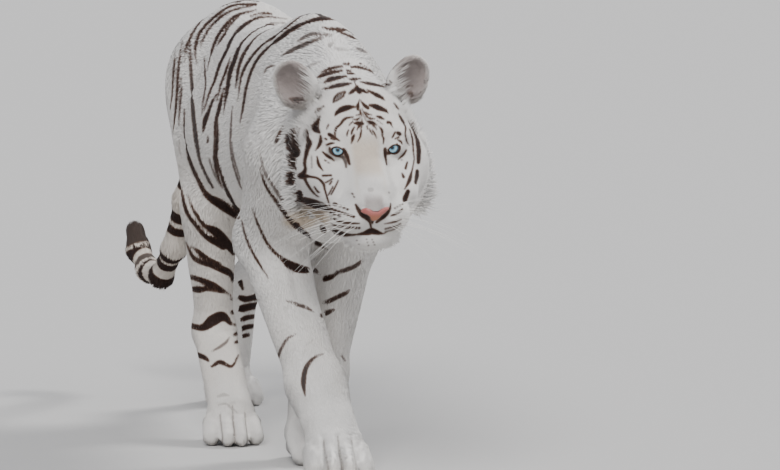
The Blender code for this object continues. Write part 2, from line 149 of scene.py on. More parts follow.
TRUNK_AND_NECK = [
    Ball(at(0, -0.15, 0.68), (0.160, 0.32, 0.215), blend=0.06),
    Ball(at(0, -0.42, 0.655), (0.198, 0.29, 0.192), blend=0.08),
    Limb(at(0, -0.25, 0.76), at(0, -0.70, 0.775), 0.095, 0.108, 1.1, blend=0.08),
    Ball(at(0, -0.76, 0.740), (0.138, 0.21, 0.180), blend=0.07),
    Ball(at(0, -0.90, 0.72), (0.095, 0.12, 0.13), blend=0.07),
    Ball(at(0, -0.03, 0.755), (0.104, 0.20, 0.172), blend=0.05),
    Ball(at(0, 0.12, 0.61), (0.115, 0.15, 0.15), blend=0.07),
    Limb(at(0, 0.05, 0.73), at(0, 0.30, 0.690), 0.135, 0.122, blend=0.07),
    Limb(at(0, 0.14, 0.63), at(0, 0.36, 0.60), 0.115, 0.085, 1.1, blend=0.07),
]

HEAD = Matrix.Translation(at(HEAD_SIDE, EYE_AHEAD, EYE_HEIGHT)) @ (
    Euler([math.radians(angle) for angle in HEAD_TURN], "XYZ").to_matrix().to_4x4()
)
HEAD_BASIS, HEAD_BACK = HEAD.to_3x3(), np.array(HEAD.inverted())


def in_head(points):
    """Points in the level head's frame: to the left, ahead and up from between the eyes."""
    local = carried(points, HEAD_BACK)
    return local[:, 0], -local[:, 1], local[:, 2]


def head_masses():
    """The skull, cheeks, muzzle and jaw, in the level head's frame."""
    masses = [
        Ball(at(0, -0.135, 0.012), (0.098, 0.135, 0.092), blend=0.03),
        Ball(at(0, -0.060, 0.010), (0.080, 0.068, 0.060), blend=0.03),
        Limb(at(0, -0.030, 0.005), at(0, -0.090, 0.050), 0.038, 0.055, 1.45, blend=0.03),
        Limb(at(0, -0.02, -0.018), at(0, 0.100, -0.052), 0.037, 0.030, 1.30, blend=0.025),
        Ball(at(0, 0.065, -0.082), (0.058, 0.075, 0.050), blend=0.02),
        Ball(at(0, 0.131, -0.073), (0.029, 0.025, 0.026), blend=0.012),
        Ball(at(0, 0.081, -0.143), (0.045, 0.050, 0.032), blend=0.025),
        Ball(at(0, -0.07, -0.11), (0.085, 0.12, 0.075), blend=0.03),
    ]
    for _, sign in SIDES:
        masses += [
            Ball(at(sign * 0.074, -0.075, -0.050), (0.062, 0.095, 0.075), blend=0.03),
            Ball(at(sign * 0.060, 0.010, -0.072), (0.036, 0.075, 0.040), (0, 0, sign * 12), blend=0.03),
            Ball(at(sign * 0.098, -0.125, -0.078), (0.050, 0.065, 0.095), (0, sign * -12, 0), blend=0.03),
            Ball(at(sign * 0.035, 0.086, -0.102), (0.041, 0.054, 0.037), blend=0.012),
            Ball(at(sign * 0.050, -0.022, 0.025), (0.032, 0.024, 0.014), (0, sign * 5, 0), blend=0.030),
            Ball(at(sign * 0.0535, -0.005, 0.0170), (0.020, 0.012, 0.0055), (0, sign * 6, 0), blend=0.010),
            Ball(at(sign * 0.0525, -0.006, -0.0090), (0.019, 0.012, 0.005), (0, sign * 4, 0), blend=0.010),
            Limb(at(sign * 0.030, 0.07, -0.14), at(sign * 0.075, -0.08, -0.11), 0.028, 0.045, blend=0.025),
        ]
    return masses


def ear_place(sign):
    """The frame at the middle of an ear, turned out and leaning out, on the walking tiger."""
    turn = Euler((math.radians(-6), math.radians(sign * 24), math.radians(sign * 18))).to_matrix()
    return HEAD @ Matrix.Translation(at(sign * 0.112 - 0.011, -0.135, 0.102)) @ turn.to_4x4()


# The way from the walking tiger to each ear's own frame.
TO_EARS = [(sign, np.array(ear_place(sign).inverted())) for _, sign in SIDES]

# Each leg's joints from the top to the knuckles, and the way its paw points in degrees.
FORELEGS = {
    "right": (at(-0.040, -0.01, 0.850), at(-0.105, 0.17, 0.66), at(-0.105, -0.01, 0.465),
              at(-0.030, 0.120, 0.175), at(-0.004, 0.173, 0.070), 4.0),
    "left": (at(0.040, -0.03, 0.845), at(0.092, 0.13, 0.64), at(0.080, -0.085, 0.465),
             at(0.012, -0.060, 0.175), at(-0.006, -0.030, 0.070), -10.0),
}
HINDLEGS = {
    "right": (at(-0.090, -0.74, 0.73), at(-0.135, -0.48, 0.490), at(-0.120, -0.515, 0.220),
              at(-0.117, -0.345, 0.070), 6.0),
    "left": (at(0.090, -0.74, 0.73), at(0.110, -0.64, 0.440), at(0.018, -0.955, 0.260),
             at(0.002, -0.975, 0.072), 0.0),
}
# Places along the tail, with its radius there.
TAIL_PATH = (
    (at(0.000, -0.93, 0.790), 0.048),
    (at(-0.012, -1.03, 0.700), 0.038),
    (at(-0.037, -1.085, 0.580), 0.033),
    (at(-0.068, -1.125, 0.450), 0.030),
    (at(-0.085, -1.18, 0.335), 0.0295),
    (at(-0.100, -1.26, 0.262), 0.029),
    (at(-0.115, -1.335, 0.265), 0.029),
    (at(-0.130, -1.39, 0.305), 0.0285),
    (at(-0.135, -1.405, 0.345), 0.0275),
)
TAIL_LINE = [place for place, _ in TAIL_PATH]


def foreleg_masses(name):
    top, shoulder, elbow, wrist, knuckles, _ = FORELEGS[name]
    return [
        Limb(top, shoulder, 0.034, 0.070, blend=0.05),
        Limb(shoulder, elbow, 0.078, 0.066, blend=0.05),
        Limb(elbow, wrist, 0.068, 0.055, blend=0.04),
        Limb(wrist, knuckles, 0.055, 0.048, 1.15, blend=0.03),
    ]


def hindleg_masses(name):
    hip, knee, hock, knuckles, _ = HINDLEGS[name]
    return [
        Limb(hip, knee, 0.130, 0.078, 0.72, blend=0.06),
        Limb(hip + at(0, -0.11, -0.03), hock.lerp(knee, 0.58) + at(0, -0.03, 0), 0.090, 0.050, 0.75, blend=0.06),
        Limb(knee, hock, 0.068, 0.043, 0.92, blend=0.04),
        Limb(hock, knuckles, 0.045, 0.044, 1.08, blend=0.03),
    ]


def paw_place(knuckles, heading, size):
    """The frame of a paw on the ground under its knuckles."""
    turn = Matrix.Rotation(math.radians(-heading), 4, "Z")
    return Matrix.Translation(Vector((knuckles.x, knuckles.y, 0))) @ turn @ Matrix.Scale(size, 4)


def paw_masses(*where):
    """A paw's pad, its heel and four toes."""
    place = paw_place(*where)
    masses = [
        Ball(at(0, 0.005, 0.052), (0.058, 0.060, 0.042), blend=0.02),
        Ball(at(0, -0.030, 0.026), (0.046, 0.042, 0.030), blend=0.015),
    ]
    for spread, reach in ((-1.5, 0.066), (-0.5, 0.092), (0.5, 0.095), (1.5, 0.070)):
        knuckle = at(spread * 0.029, reach - 0.045, 0.047)
        tip = at(spread * 0.033, reach, 0.021)
        masses.append(Limb(knuckle, tip, 0.0245, 0.0225, blend=0.006))
    return [mass.moved(place) for mass in masses]


CORE = TRUNK_AND_NECK + [mass.moved(HEAD) for mass in head_masses()]
# Each paw's knuckles, the way it points in degrees, and its size beside a forepaw.
PAWS = [(*FORELEGS[n][4:], 1.0) for n, _ in SIDES] + [(*HINDLEGS[n][3:], 0.92) for n, _ in SIDES]
TO_PAWS = [np.array(paw_place(*where).inverted()) for where in PAWS]
BARE_LEGS = [foreleg_masses(n) for n, _ in SIDES] + [hindleg_masses(n) for n, _ in SIDES]
LEGS = [leg + paw_masses(*where) for leg, where in zip(BARE_LEGS, PAWS)]
TAIL = [Limb(here, there, near, far, blend=0.02) for (here, near), (there, far) in zip(TAIL_PATH, TAIL_PATH[1:])]


def coat_distance(points):
    """Distance to the coat's outer surface."""
    trunk = blended(CORE, points)
    found = trunk
    for group in [*LEGS, TAIL]:
        found = np.minimum(found, smooth_lowest(trunk, blended(group, points), 0.045))
    return found


def eye_middle(sign):
    """Where an eyeball's middle is, once the ball stands a little proud of the coat."""
    ahead = 0.08
    while coat_distance(np.array([HEAD @ at(sign * EYE_SIDE, ahead, EYE_UP)]))[0] > 0:
        ahead -= 0.0005
    return HEAD @ at(sign * EYE_SIDE, ahead + EYE_PROUD - EYE_RADIUS, EYE_UP)


EYES = {name: eye_middle(sign) for name, sign in SIDES}
eye_low, eye_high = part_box("eye_right")
WITHERS = (eye_low + eye_high) / 2 - EYES["right"]

# How far ahead of the withers the coat changes from the neck's to the face's.
HEAD_BEGINS = (0.22, 0.34)


def coat_depth(points):
    """How thick the coat lies over the skin."""
    side, ahead, up = in_head(points)
    body = np.interp(points[:, 2], (0.0, 0.12, 0.30, 0.50), (0.0015, 0.003, 0.005, 0.009))
    body = between(body, 0.006, ramp(-points[:, 1], -0.93, -1.00))
    face = np.interp(ahead, (-0.16, -0.06, 0.02), (0.008, 0.004, 0.0018))
    cheek = ramp(np.abs(side), 0.075, 0.11) * ramp(-ahead, 0.03, 0.09) * ramp(-up, -0.05, 0.02)
    face = face + 0.008 * cheek
    return between(body, face, ramp(-points[:, 1], *HEAD_BEGINS))


# ---- Sheets that folds and markings are drawn on -------------------------------------------------------------
# How far before its sheet a drawing starts on its way back to the coat.
RAISED = 0.4


class Sheet:
    """A flat sheet before the tiger, with an origin and two directions in it. Drawings on it are carried back."""

    def __init__(self, origin, across, up):
        self.origin, self.across, self.up = (np.array(value, float) for value in (origin, across, up))
        self.toward = np.cross(self.across, self.up)

    def flat(self, points):
        away = points - self.origin
        return np.stack([away @ self.across, away @ self.up], axis=1)

    def raised(self, run, height):
        return self.origin + run[:, :1] * self.across + run[:, 1:2] * self.up + height * self.toward

    def on_coat(self, knots):
        """Places on the coat's surface behind a line drawn through knots, and the line's half width there."""
        run = smooth_run(knots, 0.0008)
        return self.dropped(self.raised(run, RAISED)), run[:, 2]

    def dropped(self, places):
        """Places before the tiger, carried back to the coat's surface by most of what is left at each step."""
        for _ in range(40):
            places -= self.toward * coat_distance(places)[:, None] * 0.8
        return places


def smooth_run(knots, step):
    """Points about a step apart on a smooth line. The knots are in centimetres, the points in metres."""
    knots = np.array(knots, float).reshape(-1, 3) * CENTIMETRE
    if len(knots) == 2:
        knots = np.array([knots[0], knots.mean(axis=0), knots[1]])
    full = np.vstack([2 * knots[0] - knots[1], knots, 2 * knots[-1] - knots[-2]])
    found = []
    for i in range(1, len(full) - 2):
        a, b, c, d = full[i - 1 : i + 3]
        count = max(2, int(np.linalg.norm((c - b)[:2]) / step))
        for share in np.arange(count) / count:
            found.append(0.5 * (2 * b + (c - a) * share + (2 * a - 5 * b + 4 * c - d) * share**2
                                + (3 * b - a - 3 * c + d) * share**3))
    found.append(knots[-1])
    return np.array(found)


def tilted_sheet(origin, basis, turn, tilt):
    """A sheet seen from ahead, after turning to the tiger's right and looking down by those angles in degrees."""
    turn, tilt = math.radians(turn), math.radians(tilt)
    across = Vector((math.cos(turn), -math.sin(turn), 0))
    up = Vector((math.sin(turn) * math.sin(tilt), math.cos(turn) * math.sin(tilt), math.cos(tilt)))
    return Sheet(origin, basis @ across, basis @ up)


FACE_SHEET = tilted_sheet(HEAD.translation, HEAD_BASIS, 0, 16)
QUARTER_SHEET = tilted_sheet((0, 0, 0), Matrix.Identity(3), 12, 5.5)

# Folds cut into the face, in the form that the marks have too: across, up and half width in centimetres for every
# knot of a run. They are the mouth, the line under the nose and the edges of the nostrils.
FOLDS = [
    (-7.9,-13.2,.08, -7,-15.2,.12, -5.5,-16.3,.14, -3.5,-16.45,.16, -2,-16,.2, -.45,-15.45,.24, 1,-15.95,.2,
     2.3,-16.55,.16, 3.8,-16.4,.13, 5.4,-15,.1),
    (-.5,-13.7,.17, -.45,-14.5,.12, -.4,-15.4,.14),
    (-3.45,-10.2,.1, -3.05,-11.2,.2, -2.35,-12.2,.27, -1.6,-12.65,.27, -1.1,-13.2,.2, -.65,-13.8,.14),
    (3.4,-10.2,.07, 3.25,-11,.13, 2.65,-11.9,.2, 1.9,-12.55,.24, 1.3,-13.05,.2, .6,-13.7,.14),
]
# The nose pad's outline.
PAD = (
    (-2.75, -11.55), (-2.4, -11.0), (-1.67, -10.88), (-1.04, -11.15), (-.4, -11.54), (.58, -11.62), (1.45, -11.15),
    (2.14, -10.88), (2.85, -10.9), (2.95, -11.25), (2.1, -11.95), (1.4, -12.4), (1.05, -12.9), (.45, -13.4),
    (-.3, -13.6), (-.8, -13.25), (-1.0, -12.65), (-1.55, -12.2), (-2.2, -11.95),
)


def outline_distance(flat, corners):
    """Distance from places on a sheet to a closed outline, negative inside."""
    best = np.full(len(flat), 9.0)
    inside = np.zeros(len(flat), bool)
    for start, end in zip(corners, corners[1:] + corners[:1]):
        start, end = np.array(start) * CENTIMETRE, np.array(end) * CENTIMETRE
        run = end - start
        share = np.clip((flat - start) @ run / (run @ run), 0, 1)
        best = np.minimum(best, np.linalg.norm(flat - start - share[:, None] * run, axis=1))
        crosses = (start[1] > flat[:, 1]) != (end[1] > flat[:, 1])
        slope = run[0] / (run[1] if run[1] else 1e-9)
        inside ^= crosses & (flat[:, 0] < start[0] + (flat[:, 1] - start[1]) * slope)
    return np.where(inside, -best, best)


# How many points are measured at once against the folds, and against a mark, to spare memory.
BLOCK, MARK_BLOCK = 8000, 20000


def nearest_less_reach(points, places, reach):
    """Distance to the nearest of some places, less its reach."""
    found = np.empty(len(points))
    for begin in range(0, len(points), BLOCK):
        some = points[begin : begin + BLOCK, None]
        found[begin : begin + BLOCK] = (np.linalg.norm(some - places[None], axis=2) - reach[None]).min(axis=1)
    return found


# ---- Lids, mouth and nostrils --------------------------------------------------------------------------------
def eye_axes(sign):
    """Across, ahead and up for an eye's opening: turned out a little, facing up a little, outer corner raised."""
    turn = Matrix.Rotation(math.radians(sign * 12), 3, "Z") @ Matrix.Rotation(math.radians(-13), 3, "X")
    axes = HEAD_BASIS @ turn @ Matrix.Rotation(math.radians(sign * -10), 3, "Y")
    return axes.col[0].copy(), -axes.col[1].copy(), axes.col[2].copy()


# The opening between the lids: half its width, its heights above and below, and how far it lies to one side.
LID_HALF_WIDTH, LID_RISE, LID_DROP, LID_SHIFT = 0.0120, 0.0058, 0.0098, -0.0014
# How wide the dark rim is over and under the opening.
RIM_ABOVE, RIM_BELOW = 0.0034, 0.0040


def opening_distance(across, up):
    """Distance to an eye's opening, a lens of two arcs, seen from ahead."""
    found = None
    for height, way in ((LID_RISE, -1), (LID_DROP, 1)):
        radius = (LID_HALF_WIDTH**2 + height**2) / (2 * height)
        arc = np.hypot(across - LID_SHIFT, up - way * (radius - height)) - radius
        found = arc if found is None else np.maximum(found, arc)
    return found


def around_eyes(points):
    """Distance to the nearer eye's opening, over the front of the face."""
    found = np.full(len(points), 9.0)
    for name, sign in SIDES:
        across, forward, upward = (np.array(axis) for axis in eye_axes(sign))
        away = points - np.array(EYES[name])
        close = (np.linalg.norm(away, axis=1) < 0.05) & (away @ forward > -0.004)
        found[close] = np.minimum(found[close], opening_distance(away[close] @ across, away[close] @ upward))
    return found


FOLD_RUNS = [FACE_SHEET.on_coat(knots) for knots in FOLDS]
FOLD_PLACES, FOLD_REACH = (np.concatenate(part) for part in zip(*FOLD_RUNS))
# All of them but the mouth are painted dark inside: painted shade in the crease under the nose and in the nostrils.
FOLD_SHADE_PLACES, FOLD_SHADE_REACH = (np.concatenate(part) for part in zip(*FOLD_RUNS[1:]))

# The insides of the upper forelegs swell here, so that they meet.
INNER_ARMS = (at(-0.026, 0.030, 0.41), at(0.0, -0.093, 0.40))
SWELLING, SWELLING_REACH = 0.008, 0.045
LID_THICKNESS, LID_GAP, LID_EDGE = 0.0024, 0.0012, 0.0008
TOE_GAP, TOE_MIDDLE, CLEFT_DEPTH, CLEFT_WIDTH, PAW_HALF_WIDTH = 0.0295, 0.015, 0.0048, 0.0055, 0.06


def about_clefts(points, to_paw):
    """Points in a paw's frame, and their distance across it from the nearest cleft between toes."""
    local = carried(points, to_paw)
    side = np.abs(local[:, 0])
    return local, np.abs(side - TOE_GAP * (side > TOE_MIDDLE))


def skin_distance(points):
    """Distance to the skin: under the coat, with lids round the eyes, clefts between the toes, and folds."""
    found = coat_distance(points) + coat_depth(points)
    for swelling in INNER_ARMS:
        away = np.linalg.norm(points - np.array(swelling), axis=1)
        found -= SWELLING * np.exp(-((away / SWELLING_REACH) ** 2))
    side, ahead, up = in_head(points)
    near = (ahead > -0.07) & (np.abs(side) < 0.11) & (np.abs(up) < 0.07)
    if near.any():
        close = points[near]
        part = found[near]
        for name, sign in SIDES:
            across, forward, upward = (np.array(axis) for axis in eye_axes(sign))
            away = close - np.array(EYES[name])
            x, y, z = away @ across, away @ forward, away @ upward
            reach = np.linalg.norm(away, axis=1)
            opening = opening_distance(x, z) + LID_EDGE
            lids = smooth_lowest(part, reach - EYE_RADIUS - LID_THICKNESS, 0.006)
            lids = np.where(y > 0, np.maximum(lids, -opening), lids)
            part = np.minimum(lids, reach - EYE_RADIUS + LID_GAP)
        found[near] = part
    feet = points[:, 2] < 0.09
    if feet.any():
        low = points[feet]
        for to_paw in TO_PAWS:
            local, middle = about_clefts(low, to_paw)
            reach = ramp(-local[:, 1], 0.025, 0.050) * (local[:, 1] > -0.14) * (np.abs(local[:, 0]) < PAW_HALF_WIDTH)
            found[feet] += CLEFT_DEPTH * reach * np.exp(-((middle / CLEFT_WIDTH) ** 2))
    front = (ahead > 0.02) & (up < -0.04)
    if front.any():
        cut = nearest_less_reach(points[front], FOLD_PLACES, FOLD_REACH * 1.25 + 0.0006)
        found[front] = -smooth_lowest(-found[front], cut, 0.0022)
    return found


# ---- Meshes --------------------------------------------------------------------------------------------------
def in_scene(name, data):
    obj = bpy.data.objects.new(name, data)
    bpy.context.scene.collection.objects.link(obj)
    return obj


def evaluated(obj):
    """The mesh that an object's modifiers or bevel make. The object is removed."""
    made = bpy.data.meshes.new_from_object(obj.evaluated_get(bpy.context.evaluated_depsgraph_get()))
    bpy.data.objects.remove(obj)
    return made


def modified(mesh, kind, **settings):
    """The mesh as one modifier leaves it."""
    obj = in_scene("holder", mesh)
    modifier = obj.modifiers.new("change", kind)
    for key, value in settings.items():
        setattr(modifier, key, value)
    return evaluated(obj)


def remeshed(mesh, voxel):
    return modified(mesh, "REMESH", mode="VOXEL", voxel_size=voxel)


def carved(mesh, tool, operation):
    cutter = in_scene("cutter", tool)
    made = modified(mesh, "BOOLEAN", operation=operation, solver="EXACT", object=cutter)
    bpy.data.objects.remove(cutter)
    return made


def mesh_from(name, bm):
    mesh = bpy.data.meshes.new(name)
    bm.to_mesh(mesh)
    bm.free()
    return mesh


def keep_values(mesh, columns):
    for label, column in columns.items():
        mesh.attributes.new(label, "FLOAT", "POINT").data.foreach_set("value", column.astype(np.float32))


def read(collection, what, width, kind=np.float32):
    """One of a collection's properties, as an array with that many columns."""
    values = np.empty(len(collection) * width, kind)
    collection.foreach_get(what, values)
    return values.reshape(-1, width)


def vertex_array(mesh, what="co"):
    return read(mesh.vertices, what, 3).astype(float)


def set_vertices(mesh, points):
    mesh.vertices.foreach_set("co", points.astype(np.float32).ravel())
    mesh.update()


def settle(mesh, distance, rounds, where=None):
    """Moves each point along its normal until it lies on the surface where that distance is nought."""
    for _ in range(rounds):
        place = vertex_array(mesh)
        out = vertex_array(mesh, "normal")
        chosen = np.arange(len(place)) if where is None else np.flatnonzero(where(place))
        some, way = place[chosen], out[chosen]
        here = distance(some)
        slope = (distance(some + way * PROBE) - here) / PROBE
        step = np.clip(here / np.clip(slope, 0.4, 2.0), -SETTLE_STEP, SETTLE_STEP)
        place[chosen] = some - way * step[:, None]
        set_vertices(mesh, place)


def mesh_of(balls):
    bm = bmesh.new()
    for ball in balls:
        size = Matrix.Diagonal((*ball.radii, 1.0))
        place = Matrix.Translation(ball.centre) @ ball.basis.to_4x4() @ size
        bmesh.ops.create_icosphere(bm, subdivisions=4, radius=1.0, matrix=place)
    return mesh_from("balls", bm)


def joined_nodes(names):
    """A copy of those solids in one mesh, about the withers."""
    bm = bmesh.new()
    for name in names:
        bm.from_mesh(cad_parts[name].data)
    bmesh.ops.remove_doubles(bm, verts=bm.verts[:], dist=1e-5)
    bmesh.ops.translate(bm, verts=bm.verts[:], vec=-WITHERS)
    return mesh_from("joined", bm)


def refined(mesh, where):
    """The mesh with its faces divided once where every corner passes the test."""
    chosen = where(vertex_array(mesh))
    bm = bmesh.new()
    bm.from_mesh(mesh)
    bm.verts.ensure_lookup_table()
    edges = [edge for edge in bm.edges if chosen[edge.verts[0].index] and chosen[edge.verts[1].index]]
    bmesh.ops.subdivide_edges(bm, edges=edges, cuts=1, use_grid_fill=True)
    bm.to_mesh(mesh)
    bm.free()
    return mesh


# ---- The skin ------------------------------------------------------------------------------------------------
# Where the skin is divided once more: all of these are tests on its points.
def on_head(points):
    _, ahead, _ = in_head(points)
    return ahead > -0.20


def on_face(points):
    side, ahead, up = in_head(points)
    return (ahead > -0.055) & (up > -0.20) & (np.abs(side) < 0.115)


def on_head_or_feet(points):
    return on_head(points) | (points[:, 2] < 0.105)


def on_folds(points):
    """About the lids, nostrils and mouth, where the skin is finest."""
    _, ahead, up = in_head(points)
    found = around_eyes(points) < 0.006
    front = (ahead > 0.03) & (up < -0.04)
    found[front] = nearest_less_reach(points[front], FOLD_PLACES, FOLD_REACH) < 0.004
    return found


def ear_skin(sign):
    """An ear's cup, thin at the rim and narrower at the top, with its root inside the head."""
    place = ear_place(sign)
    outer = [
        Ball(at(-sign * 0.002, 0, -0.010), (0.0405, 0.023, 0.038)).moved(place),
        Ball(at(sign * 0.006, -0.003, 0.018), (0.0315, 0.015, 0.031), blend=0.02).moved(place),
    ]
    hollow = Ball(at(sign * 0.001, 0.017, 0.006), (0.0330, 0.025, 0.039)).moved(place)

    def distance(points):
        return EAR_SKIN - smooth_lowest(-blended(outer, points), hollow.distance(points) - EAR_SKIN, 0.003)

    mesh = remeshed(mesh_of(outer), EAR_VOXEL)
    mesh = remeshed(carved(mesh, mesh_of([hollow]), "DIFFERENCE"), EAR_VOXEL)
    settle(mesh, distance, 2)
    return mesh


FLESH = [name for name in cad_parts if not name.startswith("eye") and name != "nose"]


def body_skin():
    """The solids in one skin, settled under the coat with finer and finer faces, and with the ears joined on."""
    solids = [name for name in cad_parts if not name.startswith("ear")]
    mesh = remeshed(joined_nodes(solids), SKIN_VOXEL)
    settle(mesh, skin_distance, 4)
    mesh = remeshed(mesh, SKIN_VOXEL)
    settle(mesh, skin_distance, 2)
    mesh = refined(mesh, on_head_or_feet)
    settle(mesh, skin_distance, 2, on_head_or_feet)
    mesh = refined(mesh, on_face)
    mesh = modified(mesh, "SMOOTH", iterations=2, factor=0.5)
    settle(mesh, skin_distance, 2, on_head)
    mesh = refined(mesh, on_folds)
    settle(mesh, skin_distance, 3, on_head)
    place = vertex_array(mesh)
    place[:, 2] = np.maximum(place[:, 2], LOWEST_SKIN)
    set_vertices(mesh, place)
    for _, sign in SIDES:
        mesh = carved(mesh, ear_skin(sign), "UNION")
    return mesh


def spread(values, edges, rounds):
    """Values at the vertices, each averaged with its neighbours' that many times."""
    count = len(values)
    shared = 1.0 + np.bincount(edges.ravel(), minlength=count)
    for _ in range(rounds):
        total = values.copy()
        for column in range(values.shape[1]):
            for here, there in ((0, 1), (1, 0)):
                total[:, column] += np.bincount(edges[:, here], values[edges[:, there], column], count)
        values = total / shared[:, None]
    return values


def unit(vectors):
    return vectors / np.maximum(np.linalg.norm(vectors, axis=1, keepdims=True), 1e-9)


def laid_flat(vectors, normals):
    return unit(vectors - normals * (vectors * normals).sum(1, keepdims=True))


def along_path(points, path, past=1.0):
    """The direction of a path's nearest run, how far along the path each point is, and its distance from it. past
    is where the last run ends, as a share of its length."""
    best = np.full(len(points), 9.0)
    way, along, gone = np.zeros((len(points), 3)), np.zeros(len(points)), 0.0
    for i, (first, second) in enumerate(zip(path, path[1:])):
        start, run = np.array(first), np.array(second - first)
        share = np.clip((points - start) @ run / (run @ run), 0, past if i == len(path) - 2 else 1)
        away = np.linalg.norm(points - start - share[:, None] * run, axis=1)
        nearer = away < best
        best[nearer] = away[nearer]
        way[nearer] = run / np.linalg.norm(run)
        along[nearer] = gone + share[nearer] * np.linalg.norm(run)
        gone += (second - first).length
    return way, along, best


def soft_noise(points, size, seed=0):
    """A smooth random value about 0, with bumps of about that size."""
    picks = np.random.default_rng(seed)
    waves = unit(picks.normal(size=(9, 3))) * picks.uniform(0.7, 1.6, (9, 1)) * 2.0 / size
    shifts = picks.uniform(0, 6.28, 9)
    return np.sin(points @ waves.T + shifts).sum(axis=1) / 3.0


# ---- The coat's lie and size ---------------------------------------------------------------------------------
def limb_paths():
    """The joints of each leg from its top to its toes, forelegs first."""
    paths = []
    for legs, first in ((FORELEGS, 1), (HINDLEGS, 0)):
        for name, _ in SIDES:
            *joints, heading = legs[name][first:]
            toes = joints[-1] + Matrix.Rotation(math.radians(-heading), 3, "Z") @ at(0, 0.09, -0.05)
            paths.append([*joints, toes])
    return paths


def lie_of_coat(points, normals, edges):
    """The way the coat lies: back from the nose, along the trunk, down the limbs and along the tail."""
    side, ahead, up = in_head(points)
    way = np.tile([0.0, 1.0, -0.12], (len(points), 1))
    flank = np.clip(np.abs(normals[:, 0]), 0, 1)
    way[:, 2] -= 0.35 * flank
    front = np.clip(-normals[:, 1], 0, 1) * ramp(-points[:, 1], -0.15, 0.05)
    way += front[:, None] * np.array([0, 0, -1.6])
    trunk = blended(CORE, points)
    for group, path, reach in zip([*LEGS, TAIL], [*limb_paths(), TAIL_LINE], (0.07, 0.07, 0.07, 0.07, 0.04)):
        weight = ramp(trunk - blended(group, points), 0.0, reach)
        way = between(way, along_path(points, path)[0], weight[:, None])
    local = np.stack([side * 1.1, -(ahead - 0.15), up + 0.082], axis=1)
    local[:, 2] -= 0.30 * ramp(np.abs(side), 0.05, 0.10) * np.abs(local[:, 1])
    from_nose = unit(local) @ np.array(HEAD_BASIS).T
    way = between(way, from_nose, ramp(ahead, -0.24, -0.12)[:, None])
    return laid_flat(spread(laid_flat(way, normals), edges, 6), normals)


def on_ears(points):
    """1 on the ears, easing to 0 about them."""
    found = np.zeros(len(points))
    for _, to_ear in TO_EARS:
        local = carried(points, to_ear)
        reach = np.linalg.norm((local - np.array([0, 0, -0.002])) / np.array([0.046, 0.032, 0.056]), axis=1)
        found = np.maximum(found, ramp(-reach, -1.1, -1.0) * ramp(local[:, 2], -0.035, -0.02))
    return found


def lock_sizes(points):
    """Length, width and height of the coat's locks."""
    side, ahead, up = in_head(points)
    length = np.interp(points[:, 2], (0.02, 0.12, 0.30, 0.50), (0.008, 0.011, 0.0155, 0.0195))
    length = between(length, 0.021, ramp(-points[:, 1], -0.93, -1.00))
    face = np.interp(ahead, (-0.17, -0.06, 0.02, 0.10), (0.019, 0.011, 0.0062, 0.0048))
    cheek = ramp(np.abs(side), 0.07, 0.11) * ramp(-ahead, 0.02, 0.09) * ramp(-up, -0.06, 0.02)
    face = face + 0.012 * cheek
    head = ramp(-points[:, 1], *HEAD_BEGINS)
    length = between(length, face, head) * (1 - 0.62 * on_ears(points))
    return length, 0.0006 + 0.056 * length, coat_depth(points) * (0.48 + 0.14 * head)


